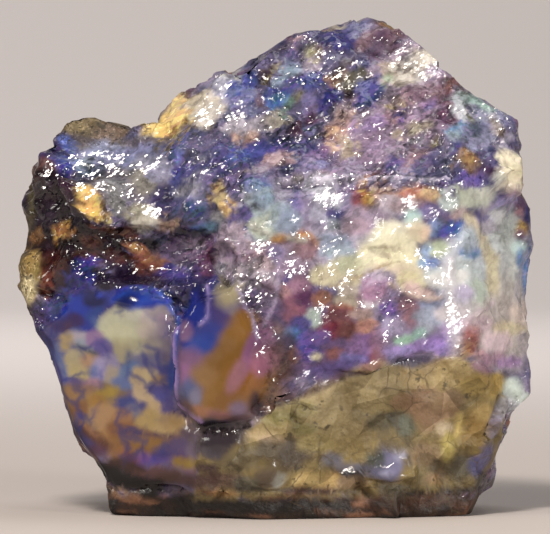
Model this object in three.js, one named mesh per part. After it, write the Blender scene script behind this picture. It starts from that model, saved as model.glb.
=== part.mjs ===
// A hand-sized piece of rough opal, in millimetres, +Z up, standing on the flat rind at its foot.
// Its best face looks along -Y, and X runs to the right across that face.
// It grew as one stone, so it is one solid: glassy opal broken in hollow flakes, a slab of brown
// host rock let into the foot of the face on the right, and rough rind round the edges.

import * as THREE from "three";
import { ImprovedNoise } from "three/addons/math/ImprovedNoise.js";
import { mergeVertices } from "three/addons/utils/BufferGeometryUtils.js";

const X_AXIS = new THREE.Vector3(1, 0, 0);
const Z_AXIS = new THREE.Vector3(0, 0, 1);

// Driving dimensions
const DEPTH = 36; // from the proudest part of the face to the back
const FACE = -16.5; // how far the face stands in front of the middle
const BACK = FACE + DEPTH;
const FOOT = 0; // the height of the flat foot
const HEART = new THREE.Vector3(0, 1.5, 26); // a point deep in the stone, which every surface can see
const SHORTEST_REACH = 8; // no surface is nearer than this to the heart
const LONGEST_REACH = 60; // and none is further away
const HALVINGS = 18; // how often the stretch that holds the surface is halved to find it

// How finely the surface is divided, and how far its points are spread towards the edges of the face
const DETAIL = 19;
const SPREAD = 1.28;
const SAME_POINT = 1e-4; // points of the ball nearer than this, as a share of its radius, are one

// The stone's outline as the face shows it: points across and up, clockwise from the foot's left end
const OUTLINE = points(
  [-18.2, -3], [-20.3, 3.6], [-21.2, 6.5], [-23.0, 8.6], [-24.6, 14.2], [-26.0, 19.4],
  [-27.8, 21.8], [-29.6, 25.3], [-30.1, 28.0], [-29.6, 30.9], [-28.7, 32.8], [-28.9, 35.4],
  [-29.5, 38.0], [-29.0, 40.6], [-26.6, 43.8], [-25.2, 45.4], [-22.0, 46.4], [-18.7, 46.9],
  [-17.6, 45.9], [-14.8, 45.9], [-13.0, 47.9], [-9.8, 49.5], [-6.5, 51.8], [-2.8, 53.2],
  [0.1, 55.3], [2.8, 56.1], [7.3, 57.6], [12.8, 58.2], [16.6, 55.8], [18.9, 53.9], [21.9, 50.5],
  [25.8, 47.3], [27.5, 44.2], [28.9, 42.4], [29.4, 36.1], [30.2, 28.8], [30.0, 21.0], [29.4, 13.3],
  [27.2, 10.7], [24.8, 5.9], [25.0, 3.2], [22.6, -0.5], [20.5, -3],
);

// The brown host rock's outline on the face, under the ledge of opal
const HOST_ROCK = points(
  [-9.6, -3], [-8.8, 9.4], [-3.6, 10.2], [1.2, 13.2], [6.6, 16.0], [13.6, 17.8], [20.8, 18.6], [26.0, 16.4],
  [27.0, 12.6], [25.0, 7.0], [23.4, 2.0], [22.0, -3],
);

// The smooth window low on the left, where one clean flake came off
const WINDOW = points(
  [-17.5, 3.4], [-21.8, 6.4], [-28.0, 20.0], [-22.6, 25.6], [-16.4, 26.2], [-12.2, 24.6], [-11.2, 19.6],
  [-11.4, 13.4], [-8.8, 10.2], [-8.4, 3.6],
);

// The tongue of clear opal that overlaps the window's right-hand edge
const TONGUE = points(
  [-11.4, 14.4], [-11.8, 21.0], [-9.4, 26.2], [-4.6, 27.0], [-1.6, 21.0], [-0.6, 16.6], [-2.6, 11.4],
  [-8.6, 10.4],
);

// The planes that the stone broke along. Each faces so many degrees round from the front, towards
// the right, and so many degrees up, and passes through a point.
const WINDOW_PLANE = fracture(-27, -9, [-11, -14.8, 14]);
const HOST_ROCK_PLANE = fracture(13, -9, [6, -14.2, 15]);
const FOOT_PLANE = fracture(0, -90, [0, 0, FOOT]);
const FRACTURES = [
  WINDOW_PLANE,
  fracture(9, -1, [3, FACE + 0.6, 30]), // the right half of the face
  fracture(-12, -1, [0, FACE + 0.5, 30]), // the left half of the face
  fracture(5, 40.5, [4, FACE + 0.4, 37]), // the long slope above the face
  fracture(16, 70, [14, 2, 59.4]), // the crest
  fracture(33, 3, [20.4, -13.6, 26]), // the rounded edge of the right shoulder
  fracture(58, 3, [22.4, -12.2, 26]), // the right shoulder
  fracture(38, 36, [23.4, -9.4, 41]), // the corner above it
  fracture(-62, 4, [-26.4, -7, 34]), // the left wall
  fracture(-24, -50, [-16, -11.8, 4.2]), // the toe under the window
  fracture(34, -34, [22.5, -10.4, 3.4]), // the heel of the host rock
  fracture(176, 4, [2, BACK - 0.5, 28]), // the back
  fracture(194, 34, [0, BACK - 2, 44]), // the upper back
  fracture(-128, 10, [-22.5, 12, 28]), // the left of the back
  fracture(126, 8, [23, 12.5, 26]), // the right of the back
  fracture(152, 58, [10, 12, 58.4]), // the back of the crest
  fracture(184, -30, [0, BACK - 2.5, 9]), // the back of the foot
];

// Hollows left by large flakes: a centre outside the stone and the radii across, deep and up
const FLAKES = [
  { at: [-17, -14.8, 29.6], radii: [11.5, 4.6, 2.6] }, // the crack under the left ledge
  { at: [-28.4, -10.6, 34.6], radii: [4.4, 5, 7] }, // the dark hollow at the left edge
  { at: [-22, -14, 52], radii: [15, 16, 13] }, // the shelf at the top left
  { at: [-16, -22.4, 41], radii: [11, 12, 9] }, // the bright scar below the shelf
  { at: [-15.8, -2, 50.2], radii: [5, 10, 4.6] }, // the saddle in the crest
  { at: [3, -23.2, 49.5], radii: [14, 18, 8] }, // the long scar on the slope
  { at: [19, -18, 52.5], radii: [9, 16, 7.6] }, // the high scar on the slope
  { at: [-4, -22.8, 32.5], radii: [7, 7.4, 6] }, // the scar at the ridge
  { at: [31.5, -15.5, 33.5], radii: [9, 9.5, 9] }, // the scar in the right shoulder
  { at: [14.5, -21.4, 23.8], radii: [9, 6.4, 4.6] }, // the bite over the host rock
  { at: [-21.5, -11, 0.5], radii: [6, 5, 4.4] }, // the hollow behind the toe
  { at: [13, -16, 3.9], radii: [10.5, 5.4, 1.1] }, // the groove above the rind
  { at: [-10, 29, 36], radii: [17, 14, 15] }, // the wide scar on the back
  { at: [11, 28, 17], radii: [13, 12.4, 11] }, // the low scar on the back
  { at: [29, 20, 40], radii: [11, 10, 12] }, // the scar on the right of the back
  { at: [-31, 14, 19], radii: [10, 9, 11] }, // the scar on the left of the back
  { at: [3, 25, 54], radii: [13, 11, 9] }, // the scar behind the crest
];

// Knobs that stand out of the broken surface
const KNOBS = [
  { at: [-20.8, 0, 43.6], radii: [5.4, 5.4, 3.2] }, // the grainy rim at the top left
  { at: [-27.0, -3.5, 27.4], radii: [3, 4.4, 5.6] }, // the rind knob at the left edge
  { at: [13.4, -11.2, 5.6], radii: [3, 3.4, 2.7] }, // the glassy bead in the host rock
  { at: [-1.4, -12.4, 6.6], radii: [3.4, 3, 3.4] }, // the dull bead in the host rock
  { at: [9.5, -3.6, 1.1], radii: [16, 9.2, 1.9] }, // the lip of rind along the foot
  { at: [25.4, -3.8, 39], radii: [3.8, 4.8, 4.6] }, // the pale knob at the right edge
];

// The rim of the outline's wall, and how steeply the wall leans in from it, forwards and backwards
const RIM = { front: -4, back: 6, leanFront: 0.28, leanBack: 0.3 };
// How far the tongue stands out, and how far inside its outline the step begins and ends
const TONGUE_STEP = { height: 1.1, begin: -0.4, end: 1.2 };
// The ball that hollowed the window: where it went in, its radius and how deep it went
const HOLLOW = { at: new THREE.Vector3(-17, -11.3, 15), radius: 46, depth: 2.3 };
// Small hollow scars all over the opal: their spacing, their depth and the share of it that sinks in.
// They fade out at the window and the tongue, from so far outside those outlines to so far inside.
const SCAR = { spacing: 6.8, depth: 2, sunk: 0.6 };
const SMOOTH = { outside: 1, inside: -1.5 };
// The rolling and the grain of the surface: wavelength and height
const ROLL = { wave: 13, height: 0.5 };
const GRAIN = { wave: 3.8, height: 0.55 };
const SKIN = 6; // the roughness is worked out only this near to the surface
// How far apart the points are that show which way the surface faces
const FEEL = 0.12;
// How strongly a point is held back from a crease, and the furthest that it may move to meet it
const HOLD = 0.04;
const CREASE_MOVE = 1.1;
const FLATTEST = 2; // a triangle counts as folded when it and the heart span less than this, in mm cubed

function points(...pairs) {
  return pairs.map(([across, up]) => new THREE.Vector2(across, up));
}

// A plane from the way it faces, as degrees round from the front and degrees up, and a point on it
function fracture(turn, tilt, through) {
  const facing = new THREE.Vector3(0, -1, 0)
    .applyAxisAngle(X_AXIS, -THREE.MathUtils.degToRad(tilt))
    .applyAxisAngle(Z_AXIS, THREE.MathUtils.degToRad(turn));
  return new THREE.Plane().setFromNormalAndCoplanarPoint(facing, new THREE.Vector3(...through));
}

// How far a point of the face lies outside an outline, negative inside
function outside(outline, across, up) {
  let nearest = Infinity;
  let inside = false;
  outline.forEach((a, i) => {
    const b = outline[(i + 1) % outline.length];
    const [dx, dz] = [b.x - a.x, b.y - a.y];
    const share = ((across - a.x) * dx + (up - a.y) * dz) / (dx * dx + dz * dz);
    const t = THREE.MathUtils.clamp(share, 0, 1);
    nearest = Math.min(nearest, Math.hypot(across - a.x - t * dx, up - a.y - t * dz));
    if (a.y > up !== b.y > up && across < a.x + ((up - a.y) / dz) * dx) inside = !inside;
  });
  return inside ? -nearest : nearest;
}

// How far a point lies outside an ellipsoid, negative inside
function outsideEllipsoid(p, { at, radii }) {
  const shares = [p.x, p.y, p.z].map((value, i) => (value - at[i]) / radii[i]);
  const share = Math.hypot(...shares);
  const steepness = Math.hypot(...shares.map((value, i) => value / radii[i]));
  return (share * (share - 1)) / steepness;
}

// A number from 0 to 1 that is always the same for one cell of a grid
function scatter(i, j, k, which) {
  const s = Math.sin(i * 127.1 + j * 311.7 + k * 74.7 + which * 269.5) * 43758.5453;
  return s - Math.floor(s);
}

// How far a point is from the nearest of many scattered centres, as a share of their spacing
function nearestCentre(p, spacing) {
  const [x, y, z] = [p.x / spacing, p.y / spacing, p.z / spacing];
  const [i0, j0, k0] = [Math.floor(x), Math.floor(y), Math.floor(z)];
  let nearest = Infinity;
  for (let i = i0 - 1; i <= i0 + 1; i++) {
    for (let j = j0 - 1; j <= j0 + 1; j++) {
      for (let k = k0 - 1; k <= k0 + 1; k++) {
        const [a, b, c] = [0, 1, 2].map((which) => scatter(i, j, k, which));
        nearest = Math.min(nearest, Math.hypot(x - i - a, y - j - b, z - k - c));
      }
    }
  }
  return nearest;
}

const noise = new ImprovedNoise();

function rolling(p, { wave, height }) {
  return height * noise.noise(p.x / wave, p.y / wave, p.z / wave);
}

// The outline's wall. It leans in towards the face and towards the back, from a rim between them.
function outsideWall(p) {
  const lean = RIM.leanFront * Math.max(0, RIM.front - p.y) + RIM.leanBack * Math.max(0, p.y - RIM.back);
  return outside(OUTLINE, p.x, p.z) + lean;
}

const HOLLOW_CENTRE = WINDOW_PLANE.projectPoint(HOLLOW.at, new THREE.Vector3())
  .addScaledVector(WINDOW_PLANE.normal, HOLLOW.radius - HOLLOW.depth);

// How far a point lies outside the stone before its surface is roughened, negative inside
function outsideBlock(p) {
  let far = Math.max(outsideWall(p), ...FRACTURES.map((plane) => plane.distanceToPoint(p)));
  if (p.y < 0) {
    far = Math.max(far, Math.min(HOST_ROCK_PLANE.distanceToPoint(p), -outside(HOST_ROCK, p.x, p.z)));
    far = Math.max(far, Math.min(HOLLOW.radius - p.distanceTo(HOLLOW_CENTRE), -outside(WINDOW, p.x, p.z)));
  }
  for (const knob of KNOBS) far = Math.min(far, outsideEllipsoid(p, knob));
  for (const flake of FLAKES) far = Math.max(far, -outsideEllipsoid(p, flake));
  return far;
}

// How far a point lies outside the finished stone, negative inside
function outsideStone(p) {
  let far = outsideBlock(p);
  if (Math.abs(far) < SKIN) {
    const onFace = p.y < 0;
    const tongue = onFace ? outside(TONGUE, p.x, p.z) : Infinity;
    const window = onFace ? outside(WINDOW, p.x, p.z) : Infinity;
    const rough = THREE.MathUtils.smoothstep(Math.min(tongue, window), SMOOTH.inside, SMOOTH.outside);
    const scarred = onFace && outside(HOST_ROCK, p.x, p.z) < 0 ? 0 : rough;
    const nearest = Math.min(1, nearestCentre(p, SCAR.spacing));
    far += scarred * SCAR.depth * (SCAR.sunk - nearest * nearest);
    far += rolling(p, ROLL) + rough * rolling(p, GRAIN);
    far -= TONGUE_STEP.height * THREE.MathUtils.smoothstep(-tongue, TONGUE_STEP.begin, TONGUE_STEP.end);
  }
  return Math.max(far, FOOT_PLANE.distanceToPoint(p));
}

// The point where a line from the heart first leaves the stone
function surfacePoint(direction) {
  const p = new THREE.Vector3();
  const at = (reach) => outsideStone(p.copy(HEART).addScaledVector(direction, reach));
  let inner = SHORTEST_REACH;
  let outer = inner + 1;
  while (at(outer) < 0 && outer < LONGEST_REACH) [inner, outer] = [outer, outer + 1];
  for (let i = 0; i < HALVINGS; i++) {
    const middle = (inner + outer) / 2;
    if (at(middle) < 0) inner = middle;
    else outer = middle;
  }
  return p.copy(HEART).addScaledVector(direction, inner).clone();
}

// The way that the surface faces at a point
function facingAt(p) {
  const q = new THREE.Vector3();
  const slope = ["x", "y", "z"].map((axis) => {
    const ahead = outsideStone(q.copy(p).setComponent("xyz".indexOf(axis), p[axis] + FEEL));
    return ahead - outsideStone(q.setComponent("xyz".indexOf(axis), p[axis] - FEEL));
  });
  return new THREE.Vector3(...slope).normalize();
}

// The point that best lies on all of the planes that touch the surface round it, which puts it on
// a crease or a corner where there is one. Each plane is a point and the way it faces there.
function creasePoint(planes) {
  const middle = new THREE.Vector3();
  for (const { at } of planes) middle.addScaledVector(at, 1 / planes.length);
  const sums = [0, 0, 0, 0, 0, 0, 0, 0, 0].map((_, i) => (i % 4 === 0 ? HOLD * planes.length : 0));
  const right = new THREE.Vector3();
  for (const { at, facing } of planes) {
    const n = facing.toArray();
    for (let i = 0; i < 9; i++) sums[i] += n[Math.floor(i / 3)] * n[i % 3];
    right.addScaledVector(facing, facing.dot(at) - facing.dot(middle));
  }
  const move = right.applyMatrix3(new THREE.Matrix3(...sums).invert());
  return middle.add(move.clampLength(0, CREASE_MOVE));
}

// Where points that met a crease have folded a triangle over, its corners go back to their own lines
// from the heart, from which the surface can't fold.
function unfold(spots, directions, triangles) {
  const [a, b, c] = [0, 1, 2].map(() => new THREE.Vector3());
  let folded = true;
  while (folded) {
    folded = false;
    for (let t = 0; t < triangles.length; t += 3) {
      const corners = triangles.slice(t, t + 3);
      [a, b, c].forEach((edge, i) => edge.subVectors(spots[corners[i]], HEART));
      if (a.dot(b.cross(c)) > FLATTEST) continue;
      for (const corner of corners) {
        const back = surfacePoint(directions[corner]);
        folded ||= back.distanceTo(spots[corner]) > 0;
        spots[corner] = back;
      }
    }
  }
}

// The stone: an evenly divided ball, whose points move out to the surface and then on to its creases
function makeStone() {
  const ball = new THREE.IcosahedronGeometry(1, DETAIL);
  ball.deleteAttribute("normal");
  ball.deleteAttribute("uv");
  const geometry = mergeVertices(ball, SAME_POINT);
  const position = geometry.attributes.position;
  const triangles = geometry.index.array;
  const spread = new THREE.Vector3(SPREAD, 1, SPREAD);
  const directions = [];
  for (let i = 0; i < position.count; i++) {
    directions.push(new THREE.Vector3().fromBufferAttribute(position, i).multiply(spread).normalize());
  }
  const planesAt = directions.map(() => []);
  for (let t = 0; t < triangles.length; t += 3) {
    const corners = triangles.slice(t, t + 3);
    const direction = new THREE.Vector3();
    corners.forEach((corner) => direction.add(directions[corner]));
    const at = surfacePoint(direction.normalize());
    const plane = { at, facing: facingAt(at) };
    corners.forEach((corner) => planesAt[corner].push(plane));
  }
  const spots = planesAt.map(creasePoint);
  unfold(spots, directions, triangles);
  spots.forEach((spot, i) => position.setXYZ(i, spot.x, spot.y, Math.max(spot.z, FOOT)));
  geometry.computeBoundingBox();
  const middle = geometry.boundingBox.getCenter(new THREE.Vector3());
  geometry.translate(-middle.x, -middle.y, -FOOT);
  geometry.computeVertexNormals();
  return geometry;
}

const opal = new THREE.Mesh(
  makeStone(),
  new THREE.MeshStandardMaterial({ color: 0x6f6690, roughness: 0.2, metalness: 0, flatShading: true }),
);
opal.name = "opal";

const stone = new THREE.Group();
stone.add(opal);

export default stone;
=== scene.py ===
import itertools
import math

import bpy
import numpy as np
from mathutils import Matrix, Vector, kdtree


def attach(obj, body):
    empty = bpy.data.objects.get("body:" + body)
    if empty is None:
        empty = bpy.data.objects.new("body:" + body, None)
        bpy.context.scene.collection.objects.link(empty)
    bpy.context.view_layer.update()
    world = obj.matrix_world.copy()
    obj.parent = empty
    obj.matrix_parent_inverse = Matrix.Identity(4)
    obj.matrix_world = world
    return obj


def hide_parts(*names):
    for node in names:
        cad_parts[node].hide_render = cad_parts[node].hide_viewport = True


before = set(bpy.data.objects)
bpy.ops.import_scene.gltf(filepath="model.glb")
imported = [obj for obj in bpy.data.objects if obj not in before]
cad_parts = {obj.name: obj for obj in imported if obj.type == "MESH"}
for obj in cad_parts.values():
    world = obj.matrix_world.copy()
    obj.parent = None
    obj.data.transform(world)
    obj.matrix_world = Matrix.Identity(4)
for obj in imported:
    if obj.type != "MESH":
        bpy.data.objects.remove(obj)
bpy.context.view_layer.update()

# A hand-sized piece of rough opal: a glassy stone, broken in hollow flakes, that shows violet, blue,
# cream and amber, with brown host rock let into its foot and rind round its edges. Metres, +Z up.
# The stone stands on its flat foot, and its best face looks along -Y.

# The camera stands half a metre in front of the best face and a little above it, with a long lens,
# so that the stone fills the picture and its sides stay almost parallel.
look_at = Vector((0, 0, 0.0285))
rise = math.radians(0.8)
away = Vector((0, -math.cos(rise), math.sin(rise)))
camera_data = bpy.data.cameras.new("camera")
camera_data.lens = 291
camera = bpy.data.objects.new("camera", camera_data)
camera.location = look_at + 0.52 * away
camera.rotation_euler = (-away).to_track_quat("-Z", "Y").to_euler()
bpy.context.collection.objects.link(camera)
bpy.context.scene.camera = camera

# The stone's body is opal, a glass-like silica that breaks in hollow flakes with sharp edges between
# them. It grew in one piece with the host rock and the rind, so it is one closed surface. It starts
# as a copy of the solid, whose creases stay sharp while the rest is rounded.
opal = bpy.data.objects.new("opal_stone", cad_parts["opal"].data.copy())
opal.data.materials.clear()
bpy.context.collection.objects.link(opal)
bpy.ops.object.select_all(action="DESELECT")
opal.select_set(True)
bpy.context.view_layer.objects.active = opal
bpy.ops.object.mode_set(mode="EDIT")
bpy.ops.mesh.select_all(action="SELECT")
bpy.ops.mesh.remove_doubles(threshold=0.000001)
bpy.ops.mesh.select_all(action="DESELECT")
bpy.ops.mesh.edges_select_sharp(sharpness=math.radians(34))
bpy.ops.transform.edge_crease(value=0.6)
bpy.ops.object.mode_set(mode="OBJECT")
rounding = opal.modifiers.new("rounding", "SUBSURF")
rounding.levels = rounding.render_levels = 2
bpy.ops.object.modifier_apply(modifier=rounding.name)

mesh = opal.data
place = np.empty(len(mesh.vertices) * 3)
mesh.vertices.foreach_get("co", place)
place = place.reshape(-1, 3) * 1000
facing = np.empty(len(mesh.vertices) * 3)
mesh.vertex_normals.foreach_get("vector", facing)
facing = facing.reshape(-1, 3)
across, deep, up = place.T


def fade(value, low, high):
    """0 at low and 1 at high, smooth between them."""
    share = np.clip((value - low) / (high - low), 0, 1)
    return share * share * (3 - 2 * share)


slopes = np.random.default_rng(5).normal(size=(256, 3))
slopes /= np.linalg.norm(slopes, axis=1)[:, None]


def roll(points, wave, seed):
    """Smooth hills and hollows between about -1 and 1, wave mm apart, at points in mm."""
    spot = points / wave + seed * 17.37
    cell = np.floor(spot).astype(np.int64)
    part = spot - cell
    ease = part**3 * (part * (part * 6 - 15) + 10)
    total = np.zeros(len(points))
    for corner in itertools.product((0, 1), repeat=3):
        at = cell + corner
        which = (at[:, 0] * 73856093 ^ at[:, 1] * 19349663 ^ at[:, 2] * 83492791) % 251
        share = np.prod(np.where(corner, ease, 1 - ease), axis=1)
        total += share * (slopes[which] * (part - corner)).sum(axis=1)
    return total * 1.6


def rough(points, wave, seed, layers=3):
    """Hills with smaller hills on them."""
    return sum(roll(points, wave / 2**i, seed + i) / 2**i for i in range(layers)) / 1.6


def outside(outline, x, z):
    """How far points of the face lie outside an outline in mm, negative inside."""
    nearest = np.full(len(x), np.inf)
    inside = np.zeros(len(x), bool)
    for (ax, az), (bx, bz) in zip(outline, outline[1:] + outline[:1]):
        wide, high = bx - ax, bz - az
        share = np.clip(((x - ax) * wide + (z - az) * high) / (wide**2 + high**2), 0, 1)
        nearest = np.minimum(nearest, np.hypot(x - ax - share * wide, z - az - share * high))
        if high != 0:
            inside ^= ((az > z) != (bz > z)) & (x < ax + (z - az) / high * wide)
    return np.where(inside, -nearest, nearest)


def near_line(line):
    """How far points lie from a line of straight stretches, in mm."""
    nearest = np.full(len(place), np.inf)
    for a, b in zip(np.array(line), np.array(line[1:])):
        share = np.clip((place - a) @ (b - a) / ((b - a) @ (b - a)), 0, 1)
        nearest = np.minimum(nearest, np.linalg.norm(place - a - share[:, None] * (b - a), axis=1))
    return nearest


def apart(middle, reach):
    """How far points lie from a middle, as a share of the reach each way."""
    return np.linalg.norm((place - middle) / reach, axis=1)


def toward(lamp_at):
    """The way that a flake faces to throw a lamp's light into the camera."""
    half = (Vector(lamp_at) - look_at).normalized() + away
    return np.array(half.normalized())


# Where many flakes catch the light together: the middle and the reach across and up in mm, the way
# they face, and how many of them do. They catch it only where the stone faces the front.
key_at = (-0.10, -0.36, 0.44)
side_at = (0.44, -0.46, 0.10)
above = toward(key_at)
right = toward(side_at)
bright_places = [
    (-20.8, -5.2, 41.0, 3.2, 1.9, above, 0.9), (-15.3, -8.8, 40.5, 2.5, 1.4, above, 0.8),
    (-21.1, -13.1, 37.9, 2.3, 0.9, above, 0.6), (-16.5, -12.5, 37.5, 1.4, 0.9, above, 0.6),
    (-14.0, -14.0, 35.0, 1.1, 0.7, above, 2.2), (-7.9, -10.1, 46.3, 1.6, 1.6, above, 0.7),
    (-5.4, -7.3, 49.7, 1.6, 1.4, above, 0.4), (-22.0, -13.2, 38.0, 1.4, 0.9, above, 0.5),
    (-8.5, -15.5, 40.5, 0.9, 1.6, above, 0.5), (-18.0, -2.8, 43.9, 3.5, 0.7, above, 0.3),
    (16.3, -2.2, 52.4, 3.3, 2.3, above, 0.9), (8.7, -5.0, 50.9, 1.9, 2.1, above, 0.6),
    (6.5, -16.4, 37.1, 1.7, 1.5, above, 0.9), (7.2, -14.9, 38.9, 3.4, 0.5, above, 0.5),
    (13.3, -14.9, 38.6, 1.0, 1.4, above, 0.7), (16.5, -14.4, 39.0, 2.5, 0.6, above, 0.6),
    (-1.5, -17.5, 31.1, 1.4, 1.0, above, 0.5), (-1.5, -18.0, 27.7, 0.9, 0.9, above, 0.2),
    (-1.1, -17.5, 24.8, 1.4, 1.6, above, 0.22), (8.6, -10.6, 43.2, 1.8, 1.6, above, 0.3),
    (14.4, -6.3, 48.8, 1.2, 0.9, above, 0.5), (22.1, -6.4, 46.5, 1.6, 0.9, above, 0.9),
    (24.7, -5.2, 46.5, 1.2, 1.2, above, 0.9), (26.0, -6.1, 43.8, 1.2, 2.1, above, 0.9),
    (19.7, -14.3, 24.9, 0.3, 5.2, right, 1.05), (20.5, -14.1, 22.1, 0.5, 2.5, right, 0.9),
    (-3.3, -16.9, 27.5, 1.8, 2.9, above, 0.35), (22.0, -13.3, 22.9, 1.4, 0.9, right, 0.5),
    (28.4, -4.6, 16.6, 0.9, 1.4, right, 0.7), (6.8, -16.7, 23.0, 2.3, 1.4, above, 0.2),
    (-4.2, -11.4, 45.7, 2.5, 1.6, above, 0.3), (-25.7, -7.9, 40.4, 1.4, 3.2, above, 0.25),
    (8.3, -13.9, 5.3, 0.8, 0.7, above, 2.0), (12.4, -14.0, 6.5, 1.0, 0.9, above, 0.9),
    (4.3, -4.4, 52.6, 4.2, 3.0, above, 0.3), (-4.9, -16.1, 32.7, 0.9, 1.4, above, 0.3),
    (-7.4, -17.2, 25.0, 1.1, 3.4, above, 0.1), (1.7, -17.6, 29.5, 2.9, 2.3, above, 0.1),
    (2.8, -16.9, 20.5, 3.4, 2.3, above, 0.16),
]
bright = np.zeros(len(place))
lit_from = np.tile(above, (len(place), 1))
for x, y, z, reach_across, reach_up, way, strength in bright_places:
    ragged = 0.5 * roll(place, 2.2, 68)
    share = strength * fade(1.25 - apart((x, y, z), (reach_across, 5, reach_up)) + ragged, 0, 0.4)
    lit_from[share > bright] = way
    bright = np.maximum(bright, share)
bright *= fade(-facing[:, 1], 0.02, 0.25)


# The whole skin's area in square mm, from which the number of flakes follows
skin_area = 9600


def flakes(spacing, bowl, tilt, seed):
    """A surface that broke in small hollow flakes, which are tilted troughs of which the deepest cuts.

    Gives each point's height in mm, its flake's lean, and how near it is to the edge of its flake.
    """
    rng = np.random.default_rng(seed)
    count = int(skin_area / spacing**2)
    chosen = rng.choice(len(place), count, replace=False)
    centres, faces = place[chosen], facing[chosen]
    leans = rng.normal(size=(count, 3)) * tilt
    troughs = np.cross(faces, rng.normal(size=(count, 3)))
    troughs /= np.linalg.norm(troughs, axis=1)[:, None]
    bowls = bowl * rng.uniform(0.3, 1.4, count)
    depths = rng.uniform(-0.25, 0.25, count) * bowl * spacing**2
    tree = kdtree.KDTree(count)
    for i, centre in enumerate(centres):
        tree.insert(centre, i)
    tree.balance()
    nearest = np.array([[found[1] for found in tree.find_n(p, 6)] for p in place])
    offset = place[:, None, :] - centres[nearest]
    round_part = 0.35 * (offset**2).sum(axis=2)
    trough_part = 1.1 * (offset * troughs[nearest]).sum(axis=2) ** 2
    lean_part = (offset * leans[nearest]).sum(axis=2)
    heights = bowls[nearest] * (round_part + trough_part) + lean_part + depths[nearest]
    lowest = np.sort(heights, axis=1)[:, :2]
    mine = nearest[np.arange(len(place)), heights.argmin(axis=1)]
    edge = fade(lowest[:, 0] - lowest[:, 1], -0.10, 0)
    return lowest[:, 0] - lowest[:, 0].mean(), leans[mine] / tilt, edge


# Where the stone is what. Points across and up in mm, as the face shows them: the host rock, the
# clear window low on the left, the tongue of clear amber beside it, and the glassy beads, which have
# their reach across and up as well.
host_outline = [
    (-9.0, 2.2), (-8.8, 9.4), (-3.6, 10.2), (1.2, 13.2), (6.6, 16.0), (13.6, 17.8), (20.8, 18.6),
    (26.0, 16.4), (27.0, 12.6), (25.0, 7.0), (23.2, 2.6),
]
window_outline = [
    (-17.5, 3.4), (-21.8, 6.4), (-28.0, 20.0), (-22.6, 25.6), (-16.4, 26.2), (-12.2, 24.6),
    (-11.2, 19.6), (-11.4, 13.4), (-8.8, 10.2), (-8.4, 3.6),
]
tongue_outline = [
    (-11.4, 14.4), (-11.8, 21.0), (-9.4, 26.2), (-4.6, 27.0), (-1.6, 21.0), (-0.6, 16.6),
    (-2.6, 11.4), (-8.6, 10.4),
]
beads = [(-6.2, 8.4, 2.3, 2.3), (13.2, 5.9, 2.1, 1.7), (8.2, 6.0, 1.7, 1.0), (-1.4, 5.6, 2.6, 1.7)]
wobble = 0.5 * rough(place, 3.0, 3)
front = fade(-facing[:, 1], -0.25, 0.2) * fade(-deep, -4, 2)
host = fade(-outside(host_outline, across, up) + wobble, -0.25, 0.25) * front
window = fade(-outside(window_outline, across, up), -0.6, 0.6) * front
tongue = fade(-outside(tongue_outline, across, up), -0.6, 0.6) * front
bead = np.zeros(len(place))
dome = np.zeros(len(place))
for x, z, reach_across, reach_up in beads:
    away_from = np.hypot((across - x) / reach_across, (up - z) / reach_up) + 0.15 * wobble
    bead = np.maximum(bead, fade(1.05 - away_from, 0, 0.15) * front)
    dome += np.clip(1 - away_from**2, 0, 1) * front
foot = fade(wobble * 2.2 - up, -3.2, -2.2)
rim_grain = fade(1.3 - apart((-20.8, -1, 45.2), (7.4, 9, 2.4)) + wobble * 0.3, 0, 0.4)
left_rind = fade(1.2 - apart((-29.5, -2, 28.5), (3.2, 9, 6.5)) + wobble * 0.3, 0, 0.3)
rind_back = (1 - front) * fade(rough(place, 15, 40), 0.02, 0.16)
low_rind = foot * (1 - window * fade(up, 1, 3))
rind = np.clip(np.maximum.reduce([low_rind, rim_grain, left_rind, rind_back]), 0, 1)
smooth = np.maximum(window, tongue)
clear_face = front * fade(-np.abs(up - 26), -13, -9) * fade(across, -4, 2) * (1 - host)
hackle = (1 - smooth) * (1 - 0.72 * clear_face) * (1 - host) * (1 - rind)

# The broken surface in relief: flakes of two sizes on the opal, grain on the rock and the rind
coarse, coarse_lean, coarse_edge = flakes(4.4, 0.05, 0.15, 11)
fine, fine_lean, fine_edge = flakes(1.7, 0.12, 0.24, 12)
height = hackle * (0.9 * coarse + 0.9 * (1 - 0.6 * np.minimum(bright, 1)) * fine)
height += clear_face * (1 - hackle) * 0.4 * coarse
height += host * (0.8 * coarse + 0.35 * fine)
height += smooth * 0.05 * rough(place, 5, 21)
height += host * (0.20 * rough(place, 2.6, 22) + 0.06 * rough(place, 0.9, 23, 2))
height += rind * (0.30 * rough(place, 2.2, 24) + 0.22 * rough(place, 0.8, 25, 2))
height -= host * (1 - bead) * 0.4 * fade(roll(place, 1.5, 26), 0.5, 0.8)
height = height * (1 - 0.8 * bead) + 0.5 * dome

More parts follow.
